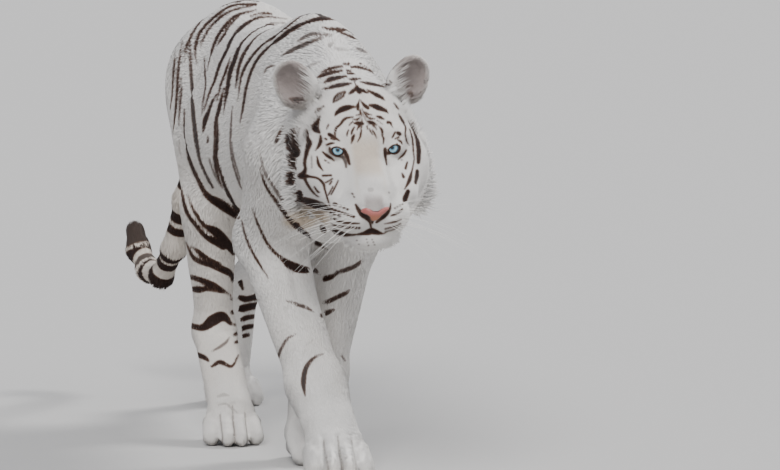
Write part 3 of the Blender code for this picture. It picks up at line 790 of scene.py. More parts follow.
# ---- Markings ------------------------------------------------------------------------------------------------
# Marks are drawn on flat sheets, in centimetres. Each is its strength, and then across, up and half width for every
# knot of its run.
FACE_MARKS = [
    # crown
    (1, -1.3,17.5,.16, -3,17.2,.24, -4.6,16.9,.24, -6,16.3,.12),
    (1, -1.7,16.6,.16, -4,16.2,.32, -6,15.7,.28, -7.1,15.2,.12),
    (1, .6,17.2,.16, 2.2,17.1,.26, 3.4,16.8,.26, 4.8,16.2,.2, 5.6,15.6,.08),
    (1, -1.65,15.25,.14, -3.7,15,.36, -4.95,14.7,.36, -6.3,14.1,.1),
    (1, .45,15.7,.14, 2.65,15.2,.34, 4.1,14.8,.32, 5.05,14.2,.2, 6.3,13.1,.08),
    (1, -1.5,13.7,.14, -2.8,13.55,.34, -4.35,13.3,.36, -6,12.95,.24, -7,12.8,.08),
    (1, .5,13.85,.12, 1.85,13.5,.34, 3.25,13.2,.33, 4.65,12.9,.25, 6.1,12.6,.1),
    (1, -.8,17.9,.2, .3,17.9,.2),
    (1, -.6,16.5,.24, 0,16.4,.2),
    (1, -.9,15.8,.18, .4,15.8,.18),
    (1, -1.6,14.6,.1, -.5,14.55,.28, .9,14.65,.1),
    (1, -.6,14.5,.08, -.8,13.3,.1),
    # dark triangle on the forehead
    (1, -.75,13.2,.12, -.6,12.5,.4, -.45,11.9,.45),
    (1, -.8,12.6,.3, -1.7,11.95,.32, -2.5,11.5,.16),
    (1, -.5,12.5,.3, .4,11.95,.32, 1.2,11.5,.16),
    # leaves with pale middles
    (1, -3.1,12.1,.12, -4.4,11.6,.2, -5.3,10.8,.22, -5.8,9.8,.1),
    (1, -3.1,11.9,.12, -3.9,10.9,.18, -4.9,10.3,.18, -5.8,9.8,.1),
    (.8, -4.1,11.3,.3, -4.9,10.7,.3),
    (1, 1.25,12.1,.12, 2.75,11.15,.36, 3.9,10.5,.3, 4.55,9.85,.1),
    (1, -1.95,8.9,.2, -3,8.75,.42, -4.15,8.45,.45, -5.2,7.85,.3, -5.7,7.2,.1),
    (1, 1.3,9.05,.2, 2.4,8.7,.42, 3.35,8.3,.42, 4.4,7.85,.3, 4.95,7.3,.1),
    # middle of the forehead
    (1, -.55,10.3,.05, -.9,9.5,.15, -1.1,8.9,.3, -1.15,8.3,.22),
    (1, -1,9,.25, -1.9,8.65,.12),
    (1, -.45,10.2,.05, -.15,9.6,.15, .27,9,.3, .87,8.5,.28, 1.05,8.35,.1),
    (.7, -.3,8.4,.12, -.2,7.7,.12, -.13,7,.12, .12,6.25,.12, .55,5.5,.12, .75,5.2,.1),
    (1, -.68,7.6,.15, -1,7.25,.14, -1.65,7.15,.08),
    (1, .35,7.63,.17, .8,7.28,.15, 1.5,7.1,.08),
    (1, -2.13,5.6,.15, -1.4,5.55,.33, -.52,5.45,.26),
    (1, -.55,6.4,.1, -.65,5.5,.14),
    (1, -1.1,5.15,.25, -1.45,4.7,.15, -1.73,4.2,.07),
    (1, .5,5.9,.12, 1,5.6,.32, 1.6,5.45,.28, 2.3,5.1,.1),
    (1, 1.5,5.05,.2, 1.95,4.55,.12, 2.15,4.15,.06),
    (1, -.75,8.2,.12, -.7,7.6,.18, -.55,6.9,.1),
    (1, -.1,7.9,.1, .25,7.2,.17, .75,6.5,.1),
    (1, -.9,6.7,.1, -1.45,6.35,.18, -2.3,6.35,.08),
    (1, .3,6.8,.1, 1.1,6.4,.18, 2,6.3,.08),
    (1, -.75,4.9,.14, -.95,4.4,.1),
    (1, .3,4.9,.12, .35,4.3,.08),
    (1, -3.35,4.3,.1, -3.7,3.6,.14, -3.75,3.1,.08),
    # lines between and over the eyes
    (1, -2.4,5.95,.08, -2.95,5.5,.12, -3.15,5.2,.07),
    (1, -2.2,4.8,.12, -2.67,4.1,.18, -2.84,3.45,.14),
    (1, -2.32,3.27,.15, -2.65,2.65,.27, -2.75,2.25,.2, -3.02,1.6,.08),
    (1, -.84,4.2,.12, -1.07,3.3,.18, -1.2,2.8,.15, -1.76,1.9,.08),
    (1, .7,4.37,.1, .9,3.87,.14, 1.26,3.2,.08),
    (1, 1.3,4.1,.1, 1.68,3.35,.14, 2.04,2.45,.07),
    (1, 2.7,4.77,.08, 3.14,4.1,.2, 3.25,3.45,.2, 3.2,2.8,.15, 3.43,2.3,.17, 3.33,1.25,.07),
    (1, 2.5,6.77,.15, 3.2,6.53,.25, 3.92,6.17,.1),
    (.8, 2.43,6,.08, 3.42,5.23,.08),
    (1, 4.57,5.5,.25, 5.1,5.4,.25, 5.26,4.9,.12, 5.55,4.4,.05),
    (1, -2.3,6.85,.12, -3.85,6.55,.22, -4.9,5.45,.2, -5.7,4.8,.2, -6.05,3.65,.15, -5.95,2.6,.07),
    (1, -7.05,5.55,.12, -7.5,4.75,.1),
    (1, -7.1,3.6,.32, -6.45,3.1,.3, -5.2,2.25,.1),
    (1, -6.9,2.75,.12, -6.2,2.5,.12),
    (1, -7.95,2.75,.17, -7.75,2.65,.17),
    (1, 5.15,2.45,.12, 5.45,2.85,.15, 5.87,3.5,.15),
    (1, 6.4,3.3,.3, 6.8,3.1,.32),
    (1, 5.7,2.2,.1, 6.55,2.5,.15),
    # temples
    (1, -7.6,9.2,.12, -8.35,8.6,.22, -9.1,7.9,.1),
    (1, -8.4,7.25,.1, -9.1,5.75,.35, -9.4,4.9,.5, -8.95,4.15,.25),
    (1, -8.75,3.4,.15, -8.95,1.85,.28, -9.8,.6,.08),
    (1, 6.57,9.17,.12, 7.03,8.5,.2, 7.45,7.95,.12),
    (1, 7.3,7,.12, 8.05,5.55,.3, 8.35,4.4,.2, 8,3.1,.14, 8.25,1.6,.15, 8.7,.8,.07),
    # right cheek
    (1, -11,4.7,.15, -11,3.1,.3, -10.85,2.1,.42, -11.3,.85,.35, -11.55,0,.3, -12,-1.75,.25, -11.95,-3.1,.25,
        -12.5,-4.3,.45),
    (1, -12.1,5.15,.12, -13.05,4.3,.35, -13.65,2.8,.5, -13.6,1.2,.55, -13.3,.1,.5, -14,-.4,.4, -14.1,-2,.35,
        -13.6,-3.1,.15),
    (1, -14.5,-4,.35, -14.5,-5.9,.4),
    (1, -12.6,-4.4,.5, -11.2,-4.55,.22, -9.8,-4.9,.2, -9,-5.85,.22, -8.85,-7.15,.15, -8.55,-8.7,.15, -8.05,-10.5,.08),
    (1, -12.1,-5,.22, -11.4,-6.5,.2, -10.55,-7.8,.15, -9.9,-8.5,.08),
    (1, -10.45,-6.6,.12, -9.9,-7.6,.15),
    (1, -13,-8,.5, -12.9,-9.5,.5),
    (1, -13.4,-8.8,.5, -12.4,-9.3,.55, -11.2,-9.7,.6, -10,-10.2,.62, -9,-10.7,.5, -8.2,-11.1,.3),
    (.6, -13,-10.4,.4, -11.6,-11.4,.55, -10,-11.8,.5, -9,-12,.3),
    (1, -8.5,.2,.12, -7.6,-.7,.22, -6.4,-1.6,.08),
    (1, -9.6,-.65,.12, -9.4,-2.2,.25, -8.7,-3.4,.08),
    (1, -8.2,-1.4,.12, -8,-1.5,.12),
    (.8, -7.6,-1.85,.12, -7.35,-1.95,.1),
    (.6, -10.65,-.5,.1, -10.75,-2.8,.1),
    (1, -8.85,-4.35,.18, -7.3,-4.3,.16),
    (1, -7.15,-4.95,.12, -8.55,-5.7,.12),
    (1, -7.4,-5.5,.14, -7.85,-6,.14),
    (1, -6.1,-5.35,.1, -6.8,-6.5,.14, -7.75,-8,.14),
    (1, -7.3,-6.5,.12, -8.3,-8.1,.12),
    # painted shadow: the tan-grey shade under the whisker pad
    (.3, -12.4,-11.6,.6, -10.9,-12.4,.9, -9.7,-13.2,.8),
    # left cheek
    (1, 9.4,4.2,.15, 9.6,2.6,.2, 9.6,1,.18, 9.5,-.7,.15, 9.5,-2,.12, 8.85,-4.1,.15, 8,-5.7,.33, 6.65,-7.6,.08),
    (1, 9.9,5.4,.2, 10.6,3.6,.36, 10.8,1.6,.42, 10.7,-.6,.42, 10.4,-2.6,.34),
    (1, 10,-4.4,.35, 9.8,-5.4,.4, 9.3,-6.4,.35),
    (1, 7.3,-8.1,.35, 6.6,-9.6,.45),
    (1, 8.1,-.1,.12, 7.4,-1,.17, 6.2,-1.85,.08),
    (1, 8,-2.5,.15, 7.5,-3.6,.22),
    (1, 6.6,-4.6,.15, 6.75,-5.2,.25),
    (.8, 6.8,-2,.08, 7,-2,.07),
    # rims, inner corners and tear lines
    (1, -7.3,.95,.16, -7.2,.25,.22, -6.7,-.4,.24, -6,-.72,.24, -5.2,-.8,.28),
    (1, 6.05,1.15,.18, 6.15,.45,.22, 5.7,-.25,.24, 5,-.58,.24, 4.2,-.65,.28),
    (1, -4.5,.5,.28, -4.1,-.4,.34, -3.85,-1.3,.28, -3.7,-2.3,.18),
    (.9, -5.1,-.75,.3, -4.5,-1.3,.3, -4.3,-2.1,.22, -4.35,-2.9,.12),
    (1, 3.6,.3,.22, 3.65,-.6,.3, 3.7,-1.6,.22, 3.7,-2.7,.14),
    (1, -7.8,1.5,.16, -7.1,1.8,.2, -6.4,1.9,.12),
    (1, 6.2,2,.12, 6.9,1.6,.2, 7.2,1.1,.1),
    # nostrils, painted dark: painted shade of their openings
    (1, -3.55,-10.1,.14, -3.1,-11.2,.26, -2.4,-12.2,.36, -1.6,-12.75,.38, -1.1,-13.3,.28, -.65,-13.9,.18),
    (1, 3.45,-10.2,.08, 3.3,-11,.16, 2.7,-12,.26, 1.95,-12.7,.32, 1.3,-13.2,.28, .5,-13.85,.18),
    # muzzle
    (1, -4.05,-8,.12, -3.95,-8.1,.12),
    (1, -3.8,-8.6,.09, -3.7,-8.7,.09),
    (.7, 3.15,-8.05,.1, 3.25,-8.15,.1),
    (.3, -.75,-7.3,.3, -.35,-7.3,.3),
    (1, -7.25,-10,.3, -7.05,-10,.3),
    (1, -6.4,-10.3,.18, -6.25,-10.3,.18),
    (1, -5.75,-10.6,.16, -5.6,-10.6,.16),
    (1, -5.15,-10.95,.15, -5,-10.95,.15),
    (1, -8.1,-12.5,.14, -6.7,-13.3,.22, -5.2,-13.65,.2, -2.9,-13.85,.12),
    (1, -7.9,-13.7,.12, -6.6,-14.4,.15, -5.2,-14.7,.12, -4.2,-14.75,.08),
    (1, -7.7,-14.8,.16, -6.7,-15.45,.34, -5.6,-16,.32, -4.4,-16.15,.2, -3.3,-16.1,.14),
    (1, -7.2,-15.6,.3, -6.7,-16.3,.42, -6.2,-16.7,.26),
    (1, 3.3,-12.6,.12, 4.2,-12.25,.2, 5.1,-11.85,.2, 5.7,-11.4,.14),
    (.95, 1.95,-14.2,.08, 3.9,-13.85,.18, 5.3,-13.4,.17),
    (.9, 2.1,-15.2,.09, 4,-14.75,.14, 5.2,-14.3,.12),
    (1, -.75,-13.8,.2, -.55,-14.5,.15, -.4,-15.3,.16),
    (1, -.3,-13.7,.24, -.3,-14,.14),
    (1, -.4,-15.45,.46, -1.1,-15.65,.42, -2,-15.9,.26, -3.2,-16.1,.14),
    (1, -.4,-15.45,.46, .3,-15.65,.4, 1.1,-15.9,.26, 1.9,-16.1,.12, 2.6,-15.8,.1),
    (.8, 2.2,-15.8,.1, 3.6,-15.5,.14, 4.6,-15,.1),
    # ears
    (.7, -13.5,10.9,.25, -12.6,10.7,.45, -11.4,10.6,.35),
    (.6, 8.7,12.4,.1, 11,12.4,.1),
    (.7, 9.6,10.9,.25, 10.6,11,.3),
]
SPOT_ROWS = [
    ((-7.8, -10.9), (-4.0, -12.45), 8, .21, .14, 1.0),
    ((-7.5, -11.8), (-6.7, -12.15), 2, .24, .08, 1.0),
    ((-6.6, -14.35), (-2.9, -14.8), 7, .19, .12, 1.0),
    ((4.2, -11.1), (5.9, -10.4), 4, .14, .08, .8),
    ((2.3, -15.2), (5.2, -14.5), 8, .16, .10, .9),
    ((-1.5, -17.0), (-1.1, -18.3), 3, .07, .10, .9),
    ((-.4, -17.1), (.1, -18.2), 3, .08, .10, .9),
    ((-3.3, -17.2), (-2.9, -18.0), 2, .07, .08, .8),
]
BODY_MARKS = [
    # rump and haunch
    (1, -8,98,.2, -16,98.6,.2, -23,96.8,.2, -26.6,93,.2, -29,88,.25, -29.4,84.5,.06),
    (1, -13.5,97.6,.25, -19,97.3,.22, -23,94.6,.27, -26,91.2,.27, -27,87.6,.25, -26.7,84,.08),
    (1, -14,97.3,.12, -19.6,95.8,.22, -23.3,92.8,.22, -25.4,89.3,.2, -25.8,87.5,.07),
    (1, -31.5,88,.12, -31.9,83,.22, -32.3,77,.15, -32.9,71,.12, -32.4,65,.12, -31,60,.2, -29.3,55,.15),
    (1, -30,89.5,.12, -30.7,84.3,.24, -31.2,76.2,.22, -31.8,70,.15, -31.9,67.5,.08),
    (1, -30.1,81,.1, -30.1,78,.2, -30.3,75.5,.2, -30.5,73,.16, -30.6,70.5,.08),
    (.95, -28.2,91,.08, -28.1,85,.24, -27.7,79,.28, -27.1,74,.33, -26.7,70,.33, -26.2,66,.33, -25.4,62,.25,
        -23.8,58.2,.25, -22.8,56.5,.2),
    (1, -29.4,74.2,.1, -29.3,70.3,.22, -28.8,66.3,.28, -27.8,62,.3, -26,58.2,.28, -24,55,.38, -20.3,52.5,.5,
        -17.4,50.3,.3),
    (.5, -30.5,67.3,.1, -30.4,65.3,.12, -29.9,63.3,.06),
    # flank
    (1, -13.5,96.2,.12, -18,94.8,.27, -20.9,92,.27, -22.8,88.5,.27, -23.6,85.5,.22, -24,82,.06),
    (1, -17,94.8,.1, -18.6,93.4,.2, -19.8,92,.22, -20.6,90.5,.22, -21.5,89,.2, -22.2,87.8,.06),
    (1, -6.5,94.3,.06, -12.2,94.5,.2, -16,92.6,.32, -18.5,89.6,.36, -19.8,86.2,.33, -21.3,82.8,.28, -22.3,79.3,.24,
        -23.5,76.5,.18, -24.5,73,.1),
    (1, -21.8,76.3,.15, -22.7,74.8,.22, -23.4,73,.28, -24,71.5,.36, -24.5,70,.3, -24.7,68.3,.12),
    (1, -23.7,67.5,.1, -23.7,66.2,.2),
    (1, -25.1,85.3,.12, -24.6,82,.18, -24.3,78.4,.15, -24.8,75,.15, -25,72,.05),
    (1, -8,92.2,.1, -10.6,92.5,.32, -13.9,90.4,.22, -16.6,87.3,.28, -17.8,84,.38, -18.9,80.6,.35, -19.5,77,.3,
        -20,73.6,.15, -20.3,71.8,.05),
    (1, -18.9,84.3,.08, -19.6,82,.22, -20.2,80.2,.22, -20.9,78.4,.2, -21.3,76.6,.15, -21.7,74.9,.1),
    (1, -20.2,77.6,.12, -21.1,73.5,.3, -22,70,.25, -22.2,66,.18, -22.2,62.2,.25, -21.6,59,.22, -20.7,56.3,.1),
    (1, -21.5,71,.1, -21.6,67,.25, -21.8,62.5,.25, -20.8,59,.22, -19.7,55.7,.3, -17.6,51.8,.38, -16.8,50.3,.25),
    (.8, -23.5,62.7,.12, -23,61,.17, -22.4,59.5,.17, -21.7,57.9,.15, -21,56.8,.1),
    (1, -8.5,91.2,.1, -12.3,89.4,.15, -15.2,86,.27, -16.8,82.5,.28, -17.4,79,.2, -17.6,77.2,.06),
    (1, -3.6,92.2,.15, -6.3,90,.22, -9.3,87.9,.27, -12.2,86.1,.22, -14.8,83,.28, -16.3,80,.22, -16.9,76,.12,
        -17.2,74.4,.05),
    (1, 3.9,91.1,.12, .8,91.3,.35, -2.8,90.4,.3, -5.6,89,.35, -8.3,87.1,.33, -11,85.2,.27, -13.2,82.7,.27,
        -14.6,79.6,.24, -15.5,76.2,.24, -16,72.8,.2, -16.7,69.6,.05),
    (.9, -18.3,73.4,.08, -18.6,69.5,.16, -18.75,65.5,.16, -18.3,61.7,.17, -17.1,57.7,.16, -16.4,56,.1),
    (.85, -18.4,66,.07, -18.2,63.5,.12, -17.8,61.7,.14, -17.3,60,.14, -16.7,58,.1),
    # along the spine
    (1, -14.7,94.8,.1, -13,95.3,.15, -11.4,95.5,.2, -10,95.3,.2),
    (.85, -10.2,93.1,.1, -7,93.2,.1),
    # withers and shoulder
    (.9, -3.8,92.1,.25, -2,92.7,.5, -.5,92.6,.5, 1,92,.35, 2.2,91.7,.25, 3.8,91.5,.1),
    (1, .8,89.3,.12, 2.2,89.1,.22, 4,89,.25, 5.6,88.9,.24, 6.9,88.5,.22, 7.8,88,.08),
    (1, 3.3,88.8,.12, 4.6,88.4,.22, 5.8,87.9,.22, 7.3,87.3,.2, 8.4,87,.08),
    (.85, 2.8,87.6,.15, 1.2,87.8,.22, -.4,87.9,.27, -2,87.7,.25, -3.1,87.1,.25, -4.2,86.4,.2),
    (.9, .8,87,.2, -2.3,85.9,.3, -5.1,84.7,.3, -7.3,83.6,.15, -7.8,83.4,.06),
    (.5, 3.3,86,.12, 2.4,85.5,.3),
    (.35, 3.5,84.8,.2, 5,84.6,.25, 6.3,84.4,.12),
    (.75, 8,84.9,.12, 9,84.6,.27, 10.2,84.1,.15),
    (.45, .3,82,.1, -1,81.5,.2, -2.2,80.9,.2),
    (.3, -1.8,83.7,.15, -1.6,83.7,.15),
    (.9, -11.6,79.4,.08, -11.2,80.3,.14, -10.6,81,.16, -9.8,81.3,.18, -9.1,81.2,.1),
    (.75, -9.4,78.9,.27, -8.9,79,.2),
    (.95, -7.6,68.4,.12, -8.2,67,.22, -8.6,65.9,.27, -8.9,65,.2),
    (.85, -12.2,64,.06, -11.3,59.7,.16, -9.5,56.3,.22, -7.3,53,.24, -4.9,50.3,.15, -3.2,49,.08),
    (1, -12.3,60.5,.06, -11,56.4,.18, -8.8,53,.24, -6.3,49.7,.33, -3.1,46.5,.42, .2,44.3,.25, 1.5,43.6,.08),
    (1, -13.8,51.8,.06, -12.5,48.4,.2, -10.2,44.3,.24, -7.6,42.1,.3, -4.9,40.4,.55, -1.3,39.5,.36, -.2,38.8,.15),
    # forelegs
    (1, -16.2,49.6,.12, -14.9,45.4,.2, -12.6,41.2,.2, -10.3,37.9,.08),
    (.92, -6.7,33.5,.08, -5.4,33.1,.2, -3.8,32.6,.27, -2.3,32.1,.25, -1.2,31.5,.16, -.5,31,.06),
    (.92, -4.6,26.7,.08, -6.6,25.5,.22, -8.3,22.3,.22, -8.3,19.3,.15),
    (.95, 1.3,22.8,.1, -.8,22,.22, -2.6,19.9,.33, -3.15,16.9,.36, -2.8,14.1,.08),
    (.3, -.3,25.9,.08, -1.5,25.2,.1, -2.8,24.2,.08),
    (.15, -5.7,39.5,.3, -5.3,36.5,.4, -4.6,34.2,.3),
    (.95, 9.2,41,.25, 7.7,40.1,.3, 6,39.5,.32, 3.9,39,.3),
    (1, 3.6,38.5,.15, 2.6,38.1,.35, 1.1,37.7,.4),
    (.97, 6.6,35.2,.2, 5.4,34.5,.32, 3.9,33.9,.32, 2.4,33.2,.32, 1.1,32.8,.25),
    (.97, 3.2,31.3,.2, 1.9,30.8,.36, 1,30.4,.32),
    (.9, 4.9,21.9,.15, 5.7,20.8,.15),
]
BAND_MARKS = [
    # right hind leg
    (1, -29.9,57,.2, -28.6,51.8,.3, -26.4,48.7,.3, -23.7,45.9,.36, -20,44.6,.6),
    (1, -28.4,55.7,.15, -26.8,51.9,.25, -24.6,48.8,.3, -21.5,47,.55, -18.6,44.2,.5, -17.8,42.8,.3),
    (1, -28.9,45.3,.1, -26.8,41.6,.32, -22.8,40.1,.36, -19.3,38.9,.45, -18,38,.3),
    (1, -27.7,44.4,.1, -26.1,43.2,.3, -24.6,42,.36, -22.8,41,.36, -20.9,40.2,.36),
    (1, -30,38.2,.3, -25.9,37.2,.36, -22.1,35.7,.42, -18.6,33.9,.15),
    (1, -30,35.4,.3, -28,35.2,.3, -25.9,35,.42, -24,35.1,.32, -22.1,34.9,.32, -20.3,34.6,.3),
    (1, -29,27.6,.35, -25.2,27,.42, -22.8,28.4,.6, -20.3,29.3,.52, -18.5,27.8,.27),
    (.8, -22.7,22.2,.15, -21.2,23,.22, -19.7,24,.22, -18.9,25,.12),
    (1, -28.5,21.4,.3, -25.6,21,.36, -24.3,20.6,.32, -23.6,20.1,.2),
    (1, -22.9,18.9,.2, -20.9,19.9,.32, -18.4,19,.22, -16.9,21.2,.15),
    (.35, -21.4,12.7,.15, -20.2,13.1,.25, -19,13,.12),
    (.4, -21.2,10.9,.1, -19.7,11.2,.15, -18.4,10.3,.15, -17.1,9.3,.12),
    # left hind leg
    (1, -18.1,37.6,.3, -17.6,36,.35, -17,34.5,.2),
    (1, -18.4,33,.2, -17,32.4,.4, -15.6,32.3,.4, -13,33,.4, -9,34,.4),
    (1, -18.2,30.2,.3, -17,30.2,.45, -15.6,30.5,.45, -13,31,.4),
    (1, -17.8,27.5,.2, -16.7,27.9,.35, -15.6,28.3,.35, -13,28.6,.3),
    (1, -17.8,25.5,.2, -16.9,25.8,.35, -15.6,26.2,.35, -13,26.4,.3),
    (1, -17.6,23.9,.2, -16.8,24.1,.3, -15.6,24.4,.3),
]
# Marks on the hind legs and tail start here on their way back from the sheet, so that they miss the forelegs.
BEHIND_FORELEGS = -0.22
# Half the width of the painted shadow between toes, and how much wider a mark and a fold's painted dark are than they
# are drawn.
TOE_CLEFT_SHADE, SPREAD = 0.0014, 0.0006
# A marking's depth is how far inside its edge a point lies. Outside a marking it goes no lower than this.
FAR = -0.006
# The tail's rings: how far along it in metres, half of each one's width, and its strength.
TAIL_RINGS = (
    (0.05, 0.010, .8), (0.115, 0.012, .85), (0.18, 0.012, .9), (0.245, 0.013, .95), (0.31, 0.013, 1), (0.375, 0.013, 1),
    (0.458, 0.012, 1), (0.490, 0.010, 1), (0.560, 0.013, 1), (0.592, 0.011, 1), (0.645, 0.016, 1), (0.715, 0.011, 1),
    (0.750, 0.009, .9), (0.785, 0.013, 1), (0.835, 0.028, .95),
)


def dotted(rows):
    """Rows of short marks, each from one place to another with a count, a half width, a length and a strength."""
    found = []
    for (x0, y0), (x1, y1), count, half, length, strength in rows:
        for share in np.linspace(0, 1, count):
            x, y = x0 + (x1 - x0) * share, y0 + (y1 - y0) * share
            found.append((strength, x - length / 2, y, half, x + length / 2, y, half))
    return found


def laid_marks(tree, sheet, step, marks, reach=0.05, swell=60, start=2.5, deepest=9.0):
    """Each mark's strength, its run on the sheet, where that meets the skin, and how far from there it holds. A wide
    mark swells by swell times its half width. Runs start that far before the sheet, and what lies deeper than
    deepest behind a mark's nearest place isn't marked."""
    laid = []
    for strength, *knots in marks:
        run = smooth_run(knots, step)
        run[:, 2] = run[:, 2] * (1 + swell * run[:, 2]) + SPREAD
        casts = [tree.ray_cast(Vector(place), Vector(-sheet.toward)) for place in sheet.raised(run, start)]
        nearest = min((cast[3] for cast in casts if cast[0] is not None), default=0)
        held = [i for i, cast in enumerate(casts) if cast[0] is not None and cast[3] < nearest + deepest]
        if held:
            laid.append((strength, run[held], np.array([casts[i][0] for i in held]), reach + 3 * run[:, 2].max()))
    return laid


def deeper(found, depth, strength, chosen=slice(None)):
    """Keeps the deeper of two markings at each point: found holds how deep inside a mark it is, and its strength."""
    better = depth > found[chosen, 0]
    found[chosen, 0] = np.where(better, depth, found[chosen, 0])
    found[chosen, 1] = np.where(better, strength, found[chosen, 1])


def lay_over(found, points, normals, sheet, laid, least=-0.25, widest=None, rows=None):
    """Adds a sheet's marks to what is found, where the surface faces the sheet by at least that. widest keeps a mark
    from growing wide over a surface that turns away, and rows are the places that the points have in found."""
    flat = sheet.flat(points)
    facing = normals @ sheet.toward > least
    rows = np.arange(len(points)) if rows is None else rows
    for strength, run, places, reach in laid:
        spare = run[:, 2].max() - FAR
        low, high = run[:, :2].min(axis=0) - spare, run[:, :2].max(axis=0) + spare
        near = np.flatnonzero(facing & ((flat > low) & (flat < high)).all(axis=1))
        for begin in range(0, len(near), MARK_BLOCK):
            some = near[begin : begin + MARK_BLOCK]
            away = np.linalg.norm(flat[some, None] - run[None, :, :2], axis=2) - run[None, :, 2]
            pick = away.argmin(axis=1)
            edge = away[np.arange(len(some)), pick]
            away = np.linalg.norm(points[some] - places[pick], axis=1)
            depth = -edge if widest is None else np.minimum(-edge, widest + 2.2 * run[pick, 2] - away)
            deeper(found, np.where(away < reach, np.maximum(depth, FAR), FAR), strength, rows[some])


class Bands:
    """Stripes for the sides that the drawings leave out: they ring the trunk and slope forward over the haunches."""

    COUNT, PITCH = 44, 0.054

    def __init__(self):
        """Each stripe's half width, top and foot, and how high and how far it parts in two, if it does."""
        picks = np.random.default_rng(31)
        self.half = picks.uniform(0.0062, 0.0102, self.COUNT)
        self.top = picks.uniform(0.865, 0.95, self.COUNT) - 0.10 * (np.arange(self.COUNT) % 3 == 1)
        self.low = picks.uniform(-0.03, 0.10, self.COUNT)
        self.loop = picks.uniform(0.60, 0.80, self.COUNT)
        self.parted = 0.009 * (picks.random(self.COUNT) < 0.4)

    def course(self, points):
        """How far along the stripes' own path each point is."""
        over = 0.80 - points[:, 2]
        drop = (over + np.hypot(over, 0.07)) / 2
        slope = 0.12 + 1.0 * ramp(points[:, 1], 0.42, 0.85)
        wave = 0.010 * soft_noise(points, 0.16, 21) + 0.003 * soft_noise(points, 0.05, 22)
        return points[:, 1] + slope * drop + wave + 0.3

    def depth(self, points):
        """How deep inside a stripe each point is."""
        here = self.course(points)
        grow = [(self.course(points + np.array(step)) - here) / 0.002 for step in ((0, 0.002, 0), (0, 0, 0.002))]
        steep = np.hypot(*grow)
        row = np.clip((here / self.PITCH).astype(int), 0, self.COUNT - 1)
        across = np.abs(here - (row + 0.5) * self.PITCH) / steep
        ahead, height = points[:, 1], points[:, 2]
        low = np.interp(ahead, (-0.2, 0.05, 0.18, 0.45, 0.62), (0.82, 0.80, 0.55, 0.52, 0.38)) + self.low[row]
        share = np.clip(np.minimum((self.top[row] - height) / 0.08, (height - low) / 0.12), 0, 1)
        parted = self.parted[row] * (steep < 1.3) * np.clip(1 - ((height - self.loop[row]) / 0.08) ** 2, 0, 1)
        half = self.half[row] * share**0.6 * steep**-0.5 * (1 - 30 * parted)
        return np.where(share > 0, half - np.abs(across - parted), FAR)


